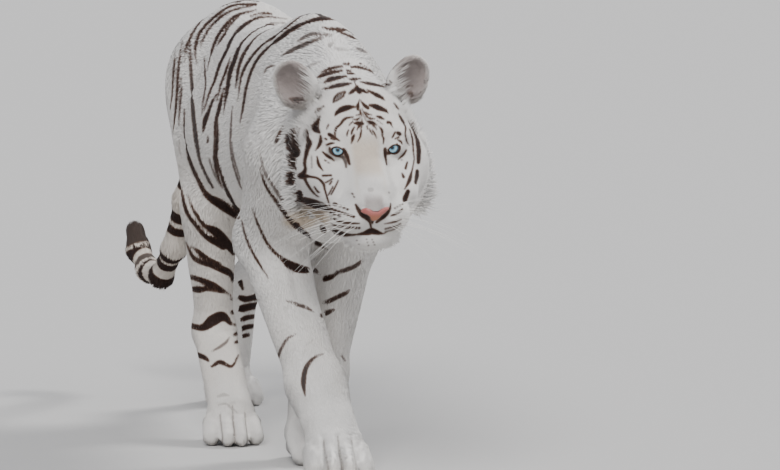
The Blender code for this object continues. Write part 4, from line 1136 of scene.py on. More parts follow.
class Markings:
    """The tiger's markings, laid over its skin."""

    def __init__(self, tree):
        self.face = laid_marks(tree, FACE_SHEET, 0.0010, FACE_MARKS + dotted(SPOT_ROWS), deepest=0.10)
        self.body = laid_marks(tree, QUARTER_SHEET, 0.0015, BODY_MARKS, 0.06, 130)
        self.bands = laid_marks(tree, QUARTER_SHEET, 0.0025, BAND_MARKS, 0.15, 160, BEHIND_FORELEGS)
        self.unseen = Bands()

    def at(self, points, normals, broad):
        """How deep inside a marking each point is, in metres, and that marking's strength. broad is the way the body
        faces there, without its small bumps."""
        side, ahead, up = in_head(points)
        found = np.tile([FAR, 1.0], (len(points), 1))
        facing = broad @ QUARTER_SHEET.toward
        lay_over(found, points, normals, FACE_SHEET, self.face)
        seen = np.flatnonzero((points[:, 0] < 0.03) | (facing > -0.05))
        lay_over(found, points[seen], broad[seen], QUARTER_SHEET, self.body, widest=0.011, rows=seen)
        lay_over(found, points, normals, QUARTER_SHEET, self.bands, -2.0)
        # the hidden cheek has the other cheek's marks
        cheek = np.flatnonzero((side > 0.06) & (facing < -0.10) & (ahead > -0.15) & (ahead < 0.02))
        mirror = np.array(HEAD @ Matrix.Diagonal((-1, 1, 1, 1)) @ HEAD.inverted())
        ways = normals[cheek] @ mirror[:3, :3].T
        lay_over(found, carried(points[cheek], mirror), ways, FACE_SHEET, self.face, rows=cheek)
        # stripes on the flank, rump and haunches that face away
        hidden = (facing < 0.04) | ((points[:, 0] > 0.05) & (points[:, 2] < 0.84))
        away = np.flatnonzero(hidden & (ahead < -0.26) & (points[:, 2] > 0.36) & (points[:, 1] < 0.98))
        away = away[blended(TAIL, points[away]) > blended(CORE, points[away]) - 0.01]
        deeper(found, np.maximum(self.unseen.depth(points[away]), FAR), 1.0, away)
        # rings round the tail
        some = np.flatnonzero(points[:, 1] > 0.93)
        _, along, away = along_path(points[some], TAIL_LINE, 1.3)
        wave = 0.004 * soft_noise(points[some], 0.05, 5)
        for where, half, strength in TAIL_RINGS:
            depth = np.where(away < 0.05, half - np.abs(along + wave - where), FAR)
            deeper(found, np.maximum(depth, FAR), strength, some)
        # painted shadow in the clefts between the toes
        feet = np.flatnonzero(points[:, 2] < 0.085)
        for to_paw in TO_PAWS:
            local, middle = about_clefts(points[feet], to_paw)
            on_toes = (local[:, 1] < -0.045) & (local[:, 1] > -0.13) & (np.abs(local[:, 0]) < PAW_HALF_WIDTH)
            deeper(found, np.maximum(np.where(on_toes, TOE_CLEFT_SHADE - middle, FAR), FAR), 0.65, feet)
        # dark skin about the eyes, and painted shade in the crease under the nose and in the nostrils
        rim = around_eyes(points)
        width = np.where(up > EYE_UP + 0.002, RIM_ABOVE, RIM_BELOW)
        deeper(found, np.maximum(width - rim, FAR), 1.0)
        front = np.flatnonzero((ahead > 0.03) & (up < -0.04))
        fold = nearest_less_reach(points[front], FOLD_SHADE_PLACES, FOLD_SHADE_REACH)
        deeper(found, np.maximum(SPREAD - fold, FAR), 1.0, front)
        depth, strength = self.behind_ears(points, normals)
        deeper(found, depth, strength)
        return found[:, 0], found[:, 1]

    def behind_ears(self, points, normals):
        """The ears' black backs, each with a pale spot."""
        depth, strength = np.full(len(points), FAR), np.ones(len(points))
        for _, to_ear in TO_EARS:
            local = carried(points, to_ear)
            out = normals @ to_ear[:3, :3].T
            near = (np.abs(local[:, :2]) < (0.055, 0.045)).all(axis=1) & (local[:, 2] > -0.035) & (local[:, 2] < 0.06)
            spot = np.hypot(local[:, 0], local[:, 2] - 0.008) - 0.014
            back = np.minimum(spot, (out[:, 1] - 0.15) * 0.02)
            depth = np.where(near, np.maximum(depth, np.clip(back, FAR, 0.006)), depth)
        return depth, strength


# ---- Coat ----------------------------------------------------------------------------------------------------
def mesh_from_arrays(name, points, triangles, uv, values):
    mesh = bpy.data.meshes.new(name)
    mesh.vertices.add(len(points))
    mesh.vertices.foreach_set("co", points.astype(np.float32).ravel())
    mesh.loops.add(triangles.size)
    mesh.loops.foreach_set("vertex_index", triangles.astype(np.int32).ravel())
    mesh.polygons.add(len(triangles))
    mesh.polygons.foreach_set("loop_start", np.arange(0, triangles.size, 3, dtype=np.int32))
    layer = mesh.uv_layers.new(name="OFBake")
    layer.uv.foreach_set("vector", uv[triangles.ravel()].astype(np.float32).ravel())
    keep_values(mesh, values)
    mesh.update()
    mesh.shade_smooth()
    return mesh


# How deep a lock is rooted, and half the size of its patch on the unwrapped skin.
ROOT_DEPTH, PATCH = 0.0012, 0.0015
# A lock's rings stand at these shares of its length. Each ring has two sides, and on a long lock a ridge.
LOCK_SHAPES = {
    "short": ((0.52,), ((0, 2, 1), (3, 1, 2), (0, 1, 3), (0, 3, 2))),
    "long": (
        (0.28, 0.66),
        ((0, 2, 3), (0, 3, 1), (0, 1, 2), (1, 3, 6), (1, 6, 4), (3, 2, 5), (3, 5, 6), (2, 1, 4), (2, 4, 5),
         (7, 6, 5), (7, 4, 6), (7, 5, 4)),
    ),
}


def lock_spine(shape, locks, droop):
    """The middle of each lock at its root, at its rings and at its tip."""
    roots, normals, lie = locks["place"], locks["normal"], locks["lie"]
    length, height = locks["length"], locks["height"]
    stations = [roots]
    for share in LOCK_SHAPES[shape][0]:
        lift = height * math.sin(math.pi * min(share * 1.1, 0.5)) * 0.85
        stations.append(roots + lie * (length * share)[:, None] + normals * lift[:, None])
    return stations + [roots + lie * length[:, None] + normals * (height * droop)[:, None]]


def lock_mesh(name, shape, locks, values, droop):
    """Thin locks with a spine along the coat's lie, sunk at the root and low again at the tip."""
    shares, pattern = LOCK_SHAPES[shape]
    normals, lie, width = locks["normal"], locks["lie"], locks["width"]
    across = np.cross(lie, normals)
    root, *middles, tip = lock_spine(shape, locks, droop)
    rings, lights, ridge = [], [], shape == "long"
    for share, spine in zip(shares, middles):
        half = width * (0.5 if share == shares[0] else 0.38)
        tilt = across * 0.45
        rings += [spine - across * half[:, None], spine + across * half[:, None]]
        lights += [normals - tilt, normals + tilt]
        if ridge:
            rings.append(spine + normals * (half * 0.45)[:, None])
            lights.append(normals - lie * 0.12)
    points = np.stack([root - normals * ROOT_DEPTH, *rings, tip], axis=1)
    light = np.stack([normals, *lights, normals + lie * 0.25], axis=1)
    count = points.shape[1]
    triangles = np.array(pattern)[None] + (np.arange(len(root)) * count)[:, None, None]
    shifts = (-1.0, 1.0, 0.0) if ridge else (-1.0, 1.0)
    marks = [(0.0, -1.0)] + [(shift, 2 * share - 1) for share in shares for shift in shifts] + [(0.0, 1.0)]
    patch = locks["uv"][:, None, :] + np.array(marks)[None] * PATCH
    along = np.array([0.0] + [share for share in shares for _ in shifts] + [1.0])
    station = np.array([0] + [i + 1 for i in range(len(shares)) for _ in shifts] + [len(shares) + 1])
    columns = {}
    for label, column in values.items():
        column = column[:, station] if column.ndim == 2 else np.repeat(column[:, None], count, axis=1)
        columns[label] = column.ravel()
    columns["along"] = np.tile(along, len(root))
    points = points.reshape(-1, 3)
    points[:, 2] = np.maximum(points[:, 2], LOWEST_LOCK)
    mesh = mesh_from_arrays(name, points, triangles.reshape(-1, 3), patch.reshape(-1, 2), columns)
    mesh.normals_split_custom_set_from_vertices(unit(light.reshape(-1, 3)))
    return mesh


class SkinSampler:
    """Random places on the skin, and the values there of what is kept at its vertices."""

    def __init__(self, mesh, columns):
        mesh.calc_loop_triangles()
        self.corners = read(mesh.loop_triangles, "vertices", 3, np.int32)
        loops = read(mesh.loop_triangles, "loops", 3, np.int32)
        self.uv = read(mesh.uv_layers["OFBake"].uv, "vector", 2)[loops]
        self.columns = columns
        a, b, c = (columns["place"][self.corners[:, i]] for i in range(3))
        self.area = np.linalg.norm(np.cross(b - a, c - a), axis=1) / 2

    def scatter(self, density):
        """Places with that many to the square metre at each vertex."""
        wanted = density[self.corners].mean(axis=1) * self.area
        count = np.floor(wanted + rng.random(len(wanted))).astype(int)
        chosen = np.repeat(np.arange(len(wanted)), count)
        first, second = rng.random(len(chosen)), rng.random(len(chosen))
        over = first + second > 1
        first[over], second[over] = 1 - first[over], 1 - second[over]
        share = np.stack([1 - first - second, first, second], axis=1)
        found = {
            label: (column[self.corners[chosen]] * (share if column.ndim == 1 else share[..., None])).sum(axis=1)
            for label, column in self.columns.items()
        }
        found["uv"] = (self.uv[chosen] * share[..., None]).sum(axis=1)
        found["normal"] = unit(found["normal"])
        found["lie"] = laid_flat(found["lie"], found["normal"])
        return found


def turned(lie, normals, angle):
    return lie * np.cos(angle)[:, None] + np.cross(normals, lie) * np.sin(angle)[:, None]


def kept(columns, chosen):
    return {label: column[chosen] for label, column in columns.items()}


def bare(points):
    """0 where no lock grows: the eyes, the nose pad, the mouth and the soles."""
    _, ahead, up = in_head(points)
    grown = ramp(around_eyes(points), 0.0018, 0.0045)
    front = np.flatnonzero((ahead > 0.03) & (up < -0.03))
    grown[front] *= ramp(outline_distance(FACE_SHEET.flat(points[front]), PAD), 0.0005, 0.0025)
    grown[front] *= ramp(nearest_less_reach(points[front], FOLD_PLACES, FOLD_REACH), 0.0002, 0.0015)
    return grown * ramp(points[:, 2], 0.001, 0.006)


def strip(flat, middle, half, soft, *ends):
    """1 on an upright strip of a sheet, fading at its sides and at its ends, each given as a way and where it fades."""
    found = ramp(half - np.abs(flat[:, 0] - middle), 0, soft)
    for way, low, high in ends:
        found = found * ramp(way * flat[:, 1], low, high)
    return found


def tints(points, normals):
    """How cream and how grey the coat is at each point. Part of both is painted shade."""
    _, ahead, up = in_head(points)
    flat = FACE_SHEET.flat(points)
    facing = normals @ FACE_SHEET.toward > 0
    bridge = strip(flat, -0.003, 0.034, 0.016, (1, -0.11, -0.06), (-1, -0.045, 0.0)) * facing * (ahead > -0.05)
    band = strip(flat, -0.001, 0.021, 0.008, (-1, 0.078, 0.098), (1, -0.125, -0.110)) * facing * (ahead > 0.05)
    # Painted shade: the middle of the nose bridge is greyed and loses its cream.
    sunk_bridge_shade = strip(flat, -0.002, 0.030, 0.010, (-1, 0.035, 0.060), (1, -0.112, -0.100))
    # Painted shadow under the jaw, laid in as cream round this ellipse.
    hollow = np.hypot((flat[:, 0] + 0.106) / 0.034, (flat[:, 1] + 0.128) / 0.026)
    jaw = ramp(-up, 0.10, 0.15) * ramp(ahead, -0.12, -0.02) * ramp(0.06 - ahead, 0.0, 0.05)
    cream_and_shade = 0.62 * bridge * (1 - sunk_bridge_shade) + 0.30 * jaw + 0.9 * facing * ramp(-hollow, -1.2, -0.6)
    # Painted warm shade, low on the right flank and haunch.
    low = ramp(-points[:, 0], -0.02, 0.10) * ramp(0.72 - points[:, 2], 0, 0.2) * ramp(points[:, 1], 0.15, 0.4)
    cream_and_shade = cream_and_shade + 0.16 * low + 0.06 * soft_noise(points, 0.12, 8) + 0.35 * ramp(points[:, 1], 0.95, 1.10)
    grey_and_shade = 0.60 * band + 0.13 * sunk_bridge_shade * facing * (ahead > 0.0)
    # Painted shade inside the ear cups: where they face in, they are greyed and creamed.
    for _, to_ear in TO_EARS:
        local = carried(points, to_ear)
        cup = ramp(-np.linalg.norm(local / np.array([0.040, 0.035, 0.050]), axis=1), -1.0, -0.82)
        inside = cup * (normals @ to_ear[1, :3] < 0.2)
        grey_and_shade = np.maximum(grey_and_shade, 0.95 * inside)
        cream_and_shade = np.maximum(cream_and_shade, 0.35 * inside)
    return np.clip(cream_and_shade, 0, 1), np.clip(grey_and_shade, 0, 1)


# ---- Materials -----------------------------------------------------------------------------------------------
class Look:
    """A node material under construction."""

    def __init__(self, name):
        self.material = bpy.data.materials.new(name)
        self.material.use_nodes = True
        self.tree = self.material.node_tree
        self.shader = self.tree.nodes["Principled BSDF"]

    def node(self, kind, **settings):
        made = self.tree.nodes.new(kind)
        for key, value in settings.items():
            setattr(made, key, value)
        return made

    def fill(self, socket, value):
        if isinstance(value, bpy.types.NodeSocket):
            self.tree.links.new(value, socket)
        elif isinstance(value, tuple) and len(value) == 3:
            socket.default_value = (*value, 1.0)
        else:
            socket.default_value = value

    def attribute(self, name):
        return self.node("ShaderNodeAttribute", attribute_name=name).outputs["Fac"]

    def at_object(self, kind):
        """A texture node that reads places on the object."""
        made = self.node(kind)
        self.tree.links.new(self.node("ShaderNodeTexCoord").outputs["Object"], made.inputs["Vector"])
        return made

    def math(self, operation, first, second=0.0, third=0.0):
        made = self.node("ShaderNodeMath", operation=operation)
        for socket, value in zip(made.inputs, (first, second, third)):
            self.fill(socket, value)
        return made.outputs[0]

    def mix(self, share, first, second, blend="MIX"):
        made = self.node("ShaderNodeMix", data_type="RGBA", blend_type=blend)
        self.fill(made.inputs["Factor"], share)
        self.fill(made.inputs[6], first)
        self.fill(made.inputs[7], second)
        return made.outputs[2]

    def noise(self, scale, detail):
        made = self.at_object("ShaderNodeTexNoise")
        made.inputs["Scale"].default_value = scale
        made.inputs["Detail"].default_value = detail
        return made.outputs["Fac"]

    def steps(self, value, *stops):
        made = self.node("ShaderNodeValToRGB")
        while len(made.color_ramp.elements) < len(stops):
            made.color_ramp.elements.new(0.5)
        for element, (place, colour) in zip(made.color_ramp.elements, stops):
            element.position = place
            element.color = (*colour, 1.0) if isinstance(colour, tuple) else (colour, colour, colour, 1.0)
        self.tree.links.new(value, made.inputs[0])
        return made.outputs[0]

    def bump(self, height, strength, distance):
        made = self.node("ShaderNodeBump")
        for key, value in (("Height", height), ("Strength", strength), ("Distance", distance)):
            self.fill(made.inputs[key], value)
        self.fill(self.shader.inputs["Normal"], made.outputs[0])

    def set(self, **values):
        for key, value in values.items():
            self.fill(self.shader.inputs[key.replace("_", " ")], value)


# The cream and the grey are fur colours that also paint shade.
WHITE_FUR, CREAM_FUR_AND_SHADE, GREY_FUR_AND_SHADE = (0.84, 0.82, 0.79), (0.60, 0.49, 0.37), (0.34, 0.29, 0.272)
STRIPE_DARK, STRIPE_WARM = (0.030, 0.017, 0.014), (0.115, 0.062, 0.042)


def coat_colour(look):
    """White fur with its cream and grey tints, part of them painted shade, and its dark markings, from the values kept
    at each point.
    """
    patches = look.noise(9.0, 3.0)
    hairs = look.noise(420.0, 2.0)
    fur = look.mix(look.math("MULTIPLY", patches, 0.16), WHITE_FUR, CREAM_FUR_AND_SHADE)
    fur = look.mix(look.attribute("cream_and_shade"), fur, CREAM_FUR_AND_SHADE)
    fur = look.mix(look.attribute("grey_and_shade"), fur, GREY_FUR_AND_SHADE)
    fur = look.mix(0.10, fur, look.steps(hairs, (0.3, 0.45), (0.7, 1.0)), "MULTIPLY")
    # depth is kept in millimetres
    edge = look.math("MULTIPLY_ADD", look.noise(900.0, 1.0), 2.2, -1.1)
    inside = look.math("ADD", look.attribute("depth"), edge)
    middle = look.math("MULTIPLY_ADD", inside, 0.30, look.math("MULTIPLY_ADD", look.noise(60.0, 2.0), 0.9, -0.55))
    middle.node.use_clamp = True
    dark = look.mix(middle, STRIPE_WARM, STRIPE_DARK)
    stripe = look.math("MULTIPLY_ADD", inside, 0.42, 0.5)
    stripe.node.use_clamp = True
    stripe = look.math("MULTIPLY", stripe, look.attribute("strength"))
    return look.mix(stripe, fur, dark)


def skin_look():
    look = Look("short_fur_on_skin")
    # Painted shade: the skin seen between the locks is darkened a little.
    colour = look.mix(0.04, coat_colour(look), (0.0, 0.0, 0.0))
    look.set(Base_Color=colour, Roughness=0.85, Sheen_Weight=0.04, Sheen_Roughness=0.5, Specular_IOR_Level=0.2)
    look.bump(look.noise(700.0, 2.0), 0.5, 0.0006)
    return look.material


def coat_look():
    look = Look("white_fur_locks")
    # Painted shade: each lock darkens towards its root, and tone varies it at random.
    shade = look.math("MULTIPLY_ADD", look.attribute("along"), 0.14, 0.89)
    shade = look.math("MULTIPLY", shade, look.attribute("tone"))
    shaded = look.mix(1.0, coat_colour(look), look.steps(shade, (0.0, 0.0), (1.0, 1.0)), "MULTIPLY")
    look.set(Base_Color=shaded, Roughness=0.85, Sheen_Weight=0.04, Sheen_Roughness=0.45, Specular_IOR_Level=0.10)
    return look.material


# ---- Eyes, nose and whiskers ---------------------------------------------------------------------------------
IRIS_RADIUS = 0.0108
# The cornea stands this high over the eyeball, out to this many radii of the iris.
CORNEA_RISE, CORNEA_REACH = 0.0014, 1.08
TO_ONLOOKER = Vector((-math.sin(math.radians(12)), -math.cos(math.radians(12)), 0))
ONLOOKER = TO_ONLOOKER * 10 + Vector((0, 0, 1.42))
# How far each eye turns from the onlooker, in degrees.
GAZE_TURN = {"right": -7, "left": -1}


def eyeball(name):
    """An eyeball with a raised cornea, its pupil towards the onlooker."""
    bm = bmesh.new()
    bmesh.ops.create_uvsphere(bm, u_segments=96, v_segments=72, radius=EYE_RADIUS)
    mesh = mesh_from(name, bm)
    place = vertex_array(mesh)
    share = np.where(place[:, 2] > 0, np.hypot(place[:, 0], place[:, 1]) / IRIS_RADIUS, 3.0)
    place[:, 2] += CORNEA_RISE * np.clip(1 - (share / CORNEA_REACH) ** 2, 0, 1)
    set_vertices(mesh, place)
    angle = np.arctan2(place[:, 1], place[:, 0])
    fibre = sum(np.sin(angle * k + k * k) for k in (9, 17, 24, 31, 43)) / 5
    keep_values(mesh, {"from_pupil": share, "fibre": fibre, "lid_shade": ramp(place[:, 1], -0.0010, 0.0052)})
    gaze = Matrix.Rotation(math.radians(GAZE_TURN[name]), 3, "Z") @ (ONLOOKER - EYES[name])
    mesh.transform(Matrix.Translation(EYES[name]) @ gaze.to_track_quat("Z", "Y").to_matrix().to_4x4())
    mesh.shade_smooth()
    return mesh


def eye_look():
    look = Look("ice_blue_eye")
    ring = look.math("MULTIPLY_ADD", look.attribute("fibre"), 0.035, look.attribute("from_pupil"))
    colour = look.steps(
        look.math("MULTIPLY", ring, 0.8),
        (0.0, (0.001, 0.002, 0.003)), (0.20, (0.002, 0.006, 0.010)), (0.25, (0.03, 0.12, 0.20)),
        (0.38, (0.17, 0.40, 0.53)), (0.56, (0.42, 0.66, 0.75)), (0.69, (0.15, 0.32, 0.43)),
        (0.79, (0.02, 0.03, 0.04)), (0.90, (0.035, 0.022, 0.02)),
    )
    colour = look.mix(look.math("MULTIPLY", look.attribute("lid_shade"), 0.72), colour, (0.03, 0.05, 0.07))
    look.set(Base_Color=colour, Roughness=0.3, Coat_Weight=0.6, Coat_Roughness=0.03, Coat_IOR=1.38)
    return look.material


def nose_pad():
    """The leather pad: a grid laid on the muzzle, proud in its middle, cut by the nostrils, with a thickness."""
    low, high = np.min(PAD, axis=0) * CENTIMETRE - 0.002, np.max(PAD, axis=0) * CENTIMETRE + 0.002
    middle, size = (low + high) / 2, high - low
    frame_of_sheet = Matrix([[*row, 0] for row in zip(FACE_SHEET.across, FACE_SHEET.up, FACE_SHEET.toward)]).to_4x4()
    start = Vector(FACE_SHEET.raised(np.array([[*middle, 0.0]]), RAISED)[0])
    bm = bmesh.new()
    grid = Matrix.Translation(start) @ frame_of_sheet @ Matrix.Diagonal((size[0] / 2, size[1] / 2, 1, 1))
    bmesh.ops.create_grid(bm, x_segments=96, y_segments=64, size=1.0, matrix=grid)
    mesh = bpy.data.meshes.new("nose_pad")
    bm.to_mesh(mesh)
    place = FACE_SHEET.dropped(vertex_array(mesh))
    set_vertices(mesh, place)
    out = vertex_array(mesh, "normal")
    edge = outline_distance(FACE_SHEET.flat(place), PAD)
    cut = nearest_less_reach(place, FOLD_PLACES, FOLD_REACH * 0.8)
    rise = 0.0022 * ramp(-edge, -0.0012, 0.0035) - 0.0012 - 0.0050 * ramp(-cut, -0.0010, 0.0008)
    # rim is painted shade: dark along the pad's lower edge and in the nostrils.
    rim = np.maximum(ramp(edge, -0.0016, -0.0002), ramp(-cut, -0.0016, -0.0002))
    up = FACE_SHEET.flat(place)[:, 1]
    foot = ramp(-up, 0.118, 0.128)
    place += out * rise[:, None]
    for label in ("low", "edge"):
        bm.verts.layers.float.new(label)
    values = [bm.verts.layers.float[label] for label in ("low", "edge")]
    for vertex, where, *shares in zip(bm.verts, place, foot, rim * ramp(-up, 0.110, 0.118)):
        vertex.co = where
        for layer, share in zip(values, shares):
            vertex[layer] = share
    bmesh.ops.delete(bm, geom=[v for v in bm.verts if edge[v.index] > 0.0009], context="VERTS")
    made = bmesh.ops.extrude_face_region(bm, geom=bm.faces[:], use_keep_orig=True)
    back = [part for part in made["geom"] if isinstance(part, bmesh.types.BMVert)]
    bmesh.ops.translate(bm, verts=back, vec=Vector(FACE_SHEET.toward) * -0.005)
    bmesh.ops.recalc_face_normals(bm, faces=bm.faces[:])
    bm.to_mesh(mesh)
    bm.free()
    mesh.shade_smooth()
    return mesh


def leather_look():
    look = Look("pink_nose_leather")
    cells = look.at_object("ShaderNodeTexVoronoi")
    cells.inputs["Scale"].default_value = 620
    colour = look.mix(look.noise(70.0, 3.0), (0.36, 0.085, 0.075), (0.50, 0.165, 0.14))
    colour = look.mix(look.math("MULTIPLY", look.attribute("low"), 0.75), colour, (0.38, 0.13, 0.045))
    # Painted shade along the pad's lower edge and in the nostrils.
    colour = look.mix(look.attribute("edge"), colour, (0.035, 0.018, 0.016))
    look.set(Base_Color=colour, Roughness=0.48, Coat_Weight=0.25, Coat_Roughness=0.3)
    look.bump(cells.outputs["Distance"], 0.5, 0.0006)
    return look.material


# No whisker reaches farther than these, to either side or ahead.
WHISKER_SIDES, WHISKER_FRONT = (-0.213, 0.206), -0.655
WHISKER_RADIUS, BROW_RADIUS = 0.00042, 0.00035
# Each row of whiskers: its two ends on the sheet in centimetres, then its count, its length and its rise in degrees.
WHISKER_ROWS = (
    ((3.6, -11.0), (6.2, -10.2), 4, 0.11, 14), ((3.6, -12.2), (6.6, -11.5), 5, 0.15, 4),
    ((3.4, -13.4), (6.8, -12.8), 5, 0.17, -8), ((3.2, -14.6), (6.4, -14.2), 5, 0.15, -22),
)


def hairs(name, runs, thick):
    """Long single hairs, each a curve with a tapering radius, as one mesh."""
    curve = bpy.data.curves.new(name, "CURVE")
    curve.dimensions = "3D"
    curve.bevel_depth = 1.0
    curve.bevel_resolution = 1
    curve.use_fill_caps = True
    for run, radius in zip(runs, thick):
        hair = curve.splines.new("POLY")
        hair.points.add(len(run) - 1)
        for i, (point, place) in enumerate(zip(hair.points, run)):
            point.co = (*place, 1)
            point.radius = radius * (1 - 0.85 * i / (len(run) - 1))
    mesh = evaluated(in_scene(name, curve))
    while mesh.uv_layers:
        mesh.uv_layers.remove(mesh.uv_layers[0])
    mesh.shade_smooth()
    return mesh


def on_face_coat(across, up):
    return FACE_SHEET.on_coat((across, up, 0) * 2)[0][0]


def whisker_runs():
    """Whiskers from four rows on each side of the muzzle, and a few over each eye."""
    runs, thick = [], []
    for _, sign in SIDES:
        for (u0, v0), (u1, v1), count, reach, climb in WHISKER_ROWS:
            for i in range(count):
                share = (i + 0.5) / count
                root = on_face_coat(sign * (u0 + (u1 - u0) * share) - 0.3, v0 + (v1 - v0) * share)
                angle = math.radians(climb + 10 * rng.normal())
                ahead = 0.55 - 0.75 * share + 0.1 * rng.normal()
                way = np.array(HEAD_BASIS @ at(sign * math.cos(angle), ahead, math.sin(angle)).normalized())
                size = reach * rng.uniform(0.75, 1.1)
                sag = np.array([0, 0.010, -0.035]) * rng.uniform(0.5, 1.2)
                shares = np.linspace(0, 1, 9)[:, None]
                run = root - way * 0.003 + way * size * shares + sag * shares**2
                run[:, 0] = np.clip(run[:, 0], *WHISKER_SIDES)
                run[:, 1] = np.maximum(run[:, 1], WHISKER_FRONT)
                runs.append(run)
                thick.append(WHISKER_RADIUS)
        for i in range(4):
            root = on_face_coat(sign * (3.6 + 0.8 * i) - 0.3, 3.2 + 0.2 * i)
            way = np.array(HEAD_BASIS @ at(sign * (0.25 + 0.12 * i), 0.8, 0.75).normalized())
            shares = np.linspace(0, 1, 7)[:, None]
            runs.append(root - way * 0.003 + way * 0.05 * shares + np.array([sign * 0.012, 0.012, -0.004]) * shares**2)
            thick.append(BROW_RADIUS)
    return runs, thick


def white_hair_look():
    look = Look("white_whiskers")
    colour = look.mix(look.noise(90.0, 2.0), (0.86, 0.84, 0.80), (0.74, 0.71, 0.66))
    look.set(Base_Color=colour, Roughness=0.35)
    return look.material


# ---- Putting the tiger together ------------------------------------------------------------------------------
def finish(name, mesh, look, replaces=()):
    """Moves a piece from about the withers to its place in the model's frame and ties it to the tiger."""
    if not mesh.uv_layers:
        unwrapped(mesh)
    mesh.transform(Matrix.Translation(WITHERS))
    mesh.materials.clear()
    mesh.materials.append(look)
    obj = in_scene(name, mesh)
    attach(obj, "root")
    if replaces:
        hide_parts(*replaces)


def unwrapped(mesh):
    """Unwraps a mesh in OFBake, its only layer."""
    obj = in_scene("unwrap", mesh)
    while mesh.uv_layers:
        mesh.uv_layers.remove(mesh.uv_layers[0])
    mesh.uv_layers.new(name="OFBake")
    bpy.context.view_layer.objects.active = obj
    obj.select_set(True)
    bpy.ops.object.mode_set(mode="EDIT")
    bpy.ops.mesh.select_all(action="SELECT")
    bpy.ops.uv.smart_project(angle_limit=math.radians(66), island_margin=0.004)
    bpy.ops.object.mode_set(mode="OBJECT")
    bpy.data.objects.remove(obj)


def coat_part(points):
    """The part of the coat that each point belongs to."""
    _, ahead, _ = in_head(points)
    trunk = blended(CORE, points)
    part = np.where(points[:, 1] > 0.52, 5, np.where(points[:, 1] > 0.16, 4, 3))
    part = np.where((points[:, 1] < 0.0) & (ahead > -0.30), 2, part)
    part = np.where(ahead > -0.16, 1, part)
    part = np.where(ahead > -0.045, 0, part)
    for number, groups in ((6, LEGS[:2]), (7, LEGS[2:]), (8, [TAIL])):
        for group in groups:
            part = np.where(blended(group, points) < trunk - 0.03, number, part)
    return part


# The fewest and the most locks in one piece.
FEWEST_LOCKS, MOST_LOCKS = 5, {"short": 49000, "long": 16000}
# How many times over the short locks cover the skin.
COVER = 1.36
PART_NAMES = ("face", "crown_and_cheeks", "neck", "shoulders", "flanks", "rump", "forelegs", "hind_legs", "tail")


